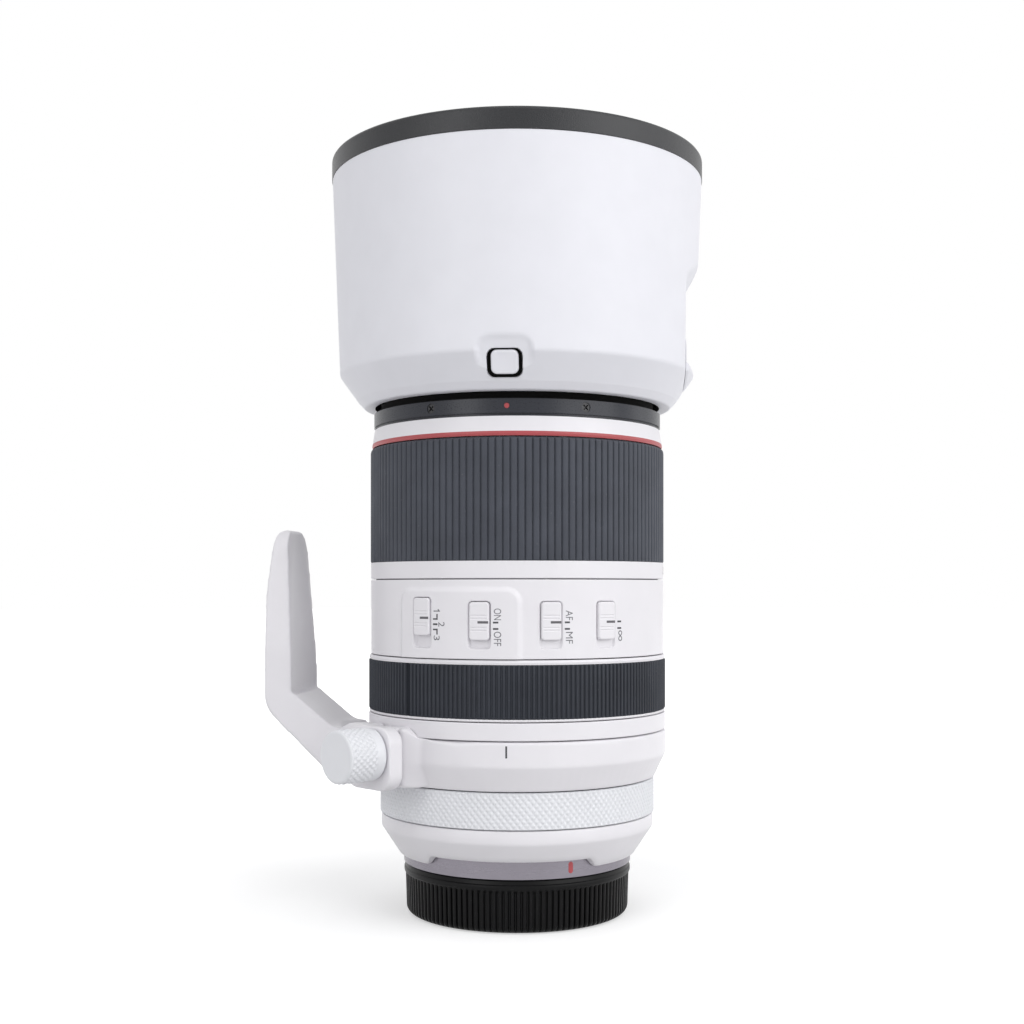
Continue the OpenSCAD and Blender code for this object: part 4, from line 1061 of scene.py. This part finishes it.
# The jaw's ear is cut back beside the clamp plate, with a groove that parts the two
EAR_GROOVE = -40.2
EAR_GROOVE_HALF = 1.5
EAR_GROOVE_DEEP = 2.3
ear_top = Z_BAND - HALF_GAP
for vertex in jaw.data.vertices:
    x, y, z = vertex.co / MM
    r = math.hypot(x, y)
    a = math.degrees(math.atan2(x, -y))
    plain = np.interp(z, [Z_COLLAR + HALF_GAP, Z_COLLAR + 7.2], [COLLAR_IN + 1.2, COLLAR_R])
    if r > plain and -55 < a < -5:
        r -= (r - plain) * smooth((a + 41) / 9.5)
        r -= EAR_GROOVE_DEEP * math.exp(-((a - EAR_GROOVE) / EAR_GROOVE_HALF) ** 2)
        z -= max(z - ear_top, 0.0) * smooth((a + 38) / 5.5)
        side = math.radians(a)
        vertex.co = (r * math.sin(side) * MM, -r * math.cos(side) * MM, z * MM)
eased(jaw.data, near_ear, 10)


# Floor, light and camera

# Lengths of the stage are metres
FLOOR_R = 6.0
FLOOR_Z = -0.0002
FLOOR_SIDES = 64
FLOOR_TONE = 0.66
SHADOW_NEAR = 0.08
SHADOW_FAR = 0.36
GLOW_NEAR = 0.46
SKY_LEVEL = 0.6
LAMP_AIM = 0.12
EYE = (0.0281, -0.4236, 0.0977)
EYE_TURN = 3.8
FOCAL_MM = 48.87
SHIFT = (-0.0049, 0.0735)

mesh = bpy.data.meshes.new("floor")
corners = [2 * math.pi * k / FLOOR_SIDES for k in range(FLOOR_SIDES)]
ring = [(FLOOR_R * math.sin(a), FLOOR_R * math.cos(a), FLOOR_Z) for a in corners]
mesh.from_pydata(ring, [], [tuple(reversed(range(FLOOR_SIDES)))])
floor = bpy.data.objects.new("floor", mesh)
scene.collection.objects.link(floor)
pale = bpy.data.materials.new("pale_floor")
pale.use_nodes = True
tree = pale.node_tree
shader = tree.nodes["Principled BSDF"]
shader.inputs["Base Color"].default_value = (FLOOR_TONE, FLOOR_TONE, FLOOR_TONE, 1)
shader.inputs["Roughness"].default_value = 0.9
shader.inputs["Specular IOR Level"].default_value = 0.0


def seen_rays(tree):
    """1 for rays that show a surface to the camera, by sight, in gloss or through glass"""
    path = tree.nodes.new("ShaderNodeLightPath")
    last = path.outputs["Is Camera Ray"]
    for kind in ("Is Glossy Ray", "Is Transmission Ray"):
        most = tree.nodes.new("ShaderNodeMath")
        most.operation = "MAXIMUM"
        tree.links.new(last, most.inputs[0])
        tree.links.new(path.outputs[kind], most.inputs[1])
        last = most.outputs[0]
    return last


glow = tree.nodes.new("ShaderNodeEmission")
glow.inputs["Color"].default_value = (1, 1, 1, 1)
spot = tree.nodes.new("ShaderNodeTexCoord")
reach = tree.nodes.new("ShaderNodeVectorMath")
reach.operation = "LENGTH"
tree.links.new(spot.outputs["Object"], reach.inputs[0])
lift = tree.nodes.new("ShaderNodeMath")
lift.operation = "MULTIPLY"
tree.links.new(seen_rays(tree), lift.inputs[0])
rise = between(tree, reach.outputs["Value"], SHADOW_NEAR, SHADOW_FAR, GLOW_NEAR, 1.0)
tree.links.new(rise, lift.inputs[1])
tree.links.new(lift.outputs[0], glow.inputs["Strength"])
both = tree.nodes.new("ShaderNodeAddShader")
tree.links.new(shader.outputs["BSDF"], both.inputs[0])
tree.links.new(glow.outputs["Emission"], both.inputs[1])
tree.links.new(both.outputs["Shader"], tree.nodes["Material Output"].inputs["Surface"])
mesh.materials.append(pale)

world = bpy.data.worlds.new("studio")
world.use_nodes = True
scene.world = world
tree = world.node_tree
sky = tree.nodes["Background"]
sky.inputs["Color"].default_value = (0.98, 0.985, 1.0, 1)
sky.inputs["Strength"].default_value = SKY_LEVEL
white = tree.nodes.new("ShaderNodeBackground")
white.inputs["Color"].default_value = (1, 1, 1, 1)
white.inputs["Strength"].default_value = 1.0
choose = tree.nodes.new("ShaderNodeMixShader")
tree.links.new(seen_rays(tree), choose.inputs["Fac"])
tree.links.new(sky.outputs["Background"], choose.inputs[1])
tree.links.new(white.outputs["Background"], choose.inputs[2])
tree.links.new(choose.outputs["Shader"], tree.nodes["World Output"].inputs["Surface"])


def softbox(name, azimuth, elevation, distance, wide, high, radiance):
    """An area lamp that faces the middle of the lens; radiance is how bright its face is"""
    lamp = bpy.data.lights.new(name, "AREA")
    lamp.shape = "RECTANGLE"
    lamp.size = wide
    lamp.size_y = high
    lamp.energy = radiance * math.pi * wide * high
    obj = bpy.data.objects.new(name, lamp)
    a = math.radians(azimuth)
    e = math.radians(elevation)
    away = np.array([math.cos(e) * math.sin(a), -math.cos(e) * math.cos(a), math.sin(e)]) * distance
    obj.location = away + np.array([0.0, 0.0, LAMP_AIM])
    obj.rotation_euler = (math.radians(90 - elevation), 0.0, a)
    scene.collection.objects.link(obj)


softbox("key", azimuth=60, elevation=20, distance=1.5, wide=1.4, high=1.0, radiance=2.2)
softbox("back", azimuth=112, elevation=20, distance=1.5, wide=0.5, high=1.0, radiance=0.8)
softbox("fill", azimuth=-36, elevation=18, distance=1.6, wide=0.6, high=0.9, radiance=2.5)
softbox("top", azimuth=10, elevation=62, distance=1.5, wide=1.0, high=1.0, radiance=1.5)

camera = bpy.data.cameras.new("camera")
camera.sensor_width = 36.0
camera.lens = FOCAL_MM
camera.shift_x, camera.shift_y = SHIFT
camera.clip_start = 0.01
eye = bpy.data.objects.new("camera", camera)
eye.location = EYE
eye.rotation_euler = (math.radians(90), 0.0, math.radians(EYE_TURN))
scene.collection.objects.link(eye)
scene.camera = eye
scene.view_settings.view_transform = "Standard"
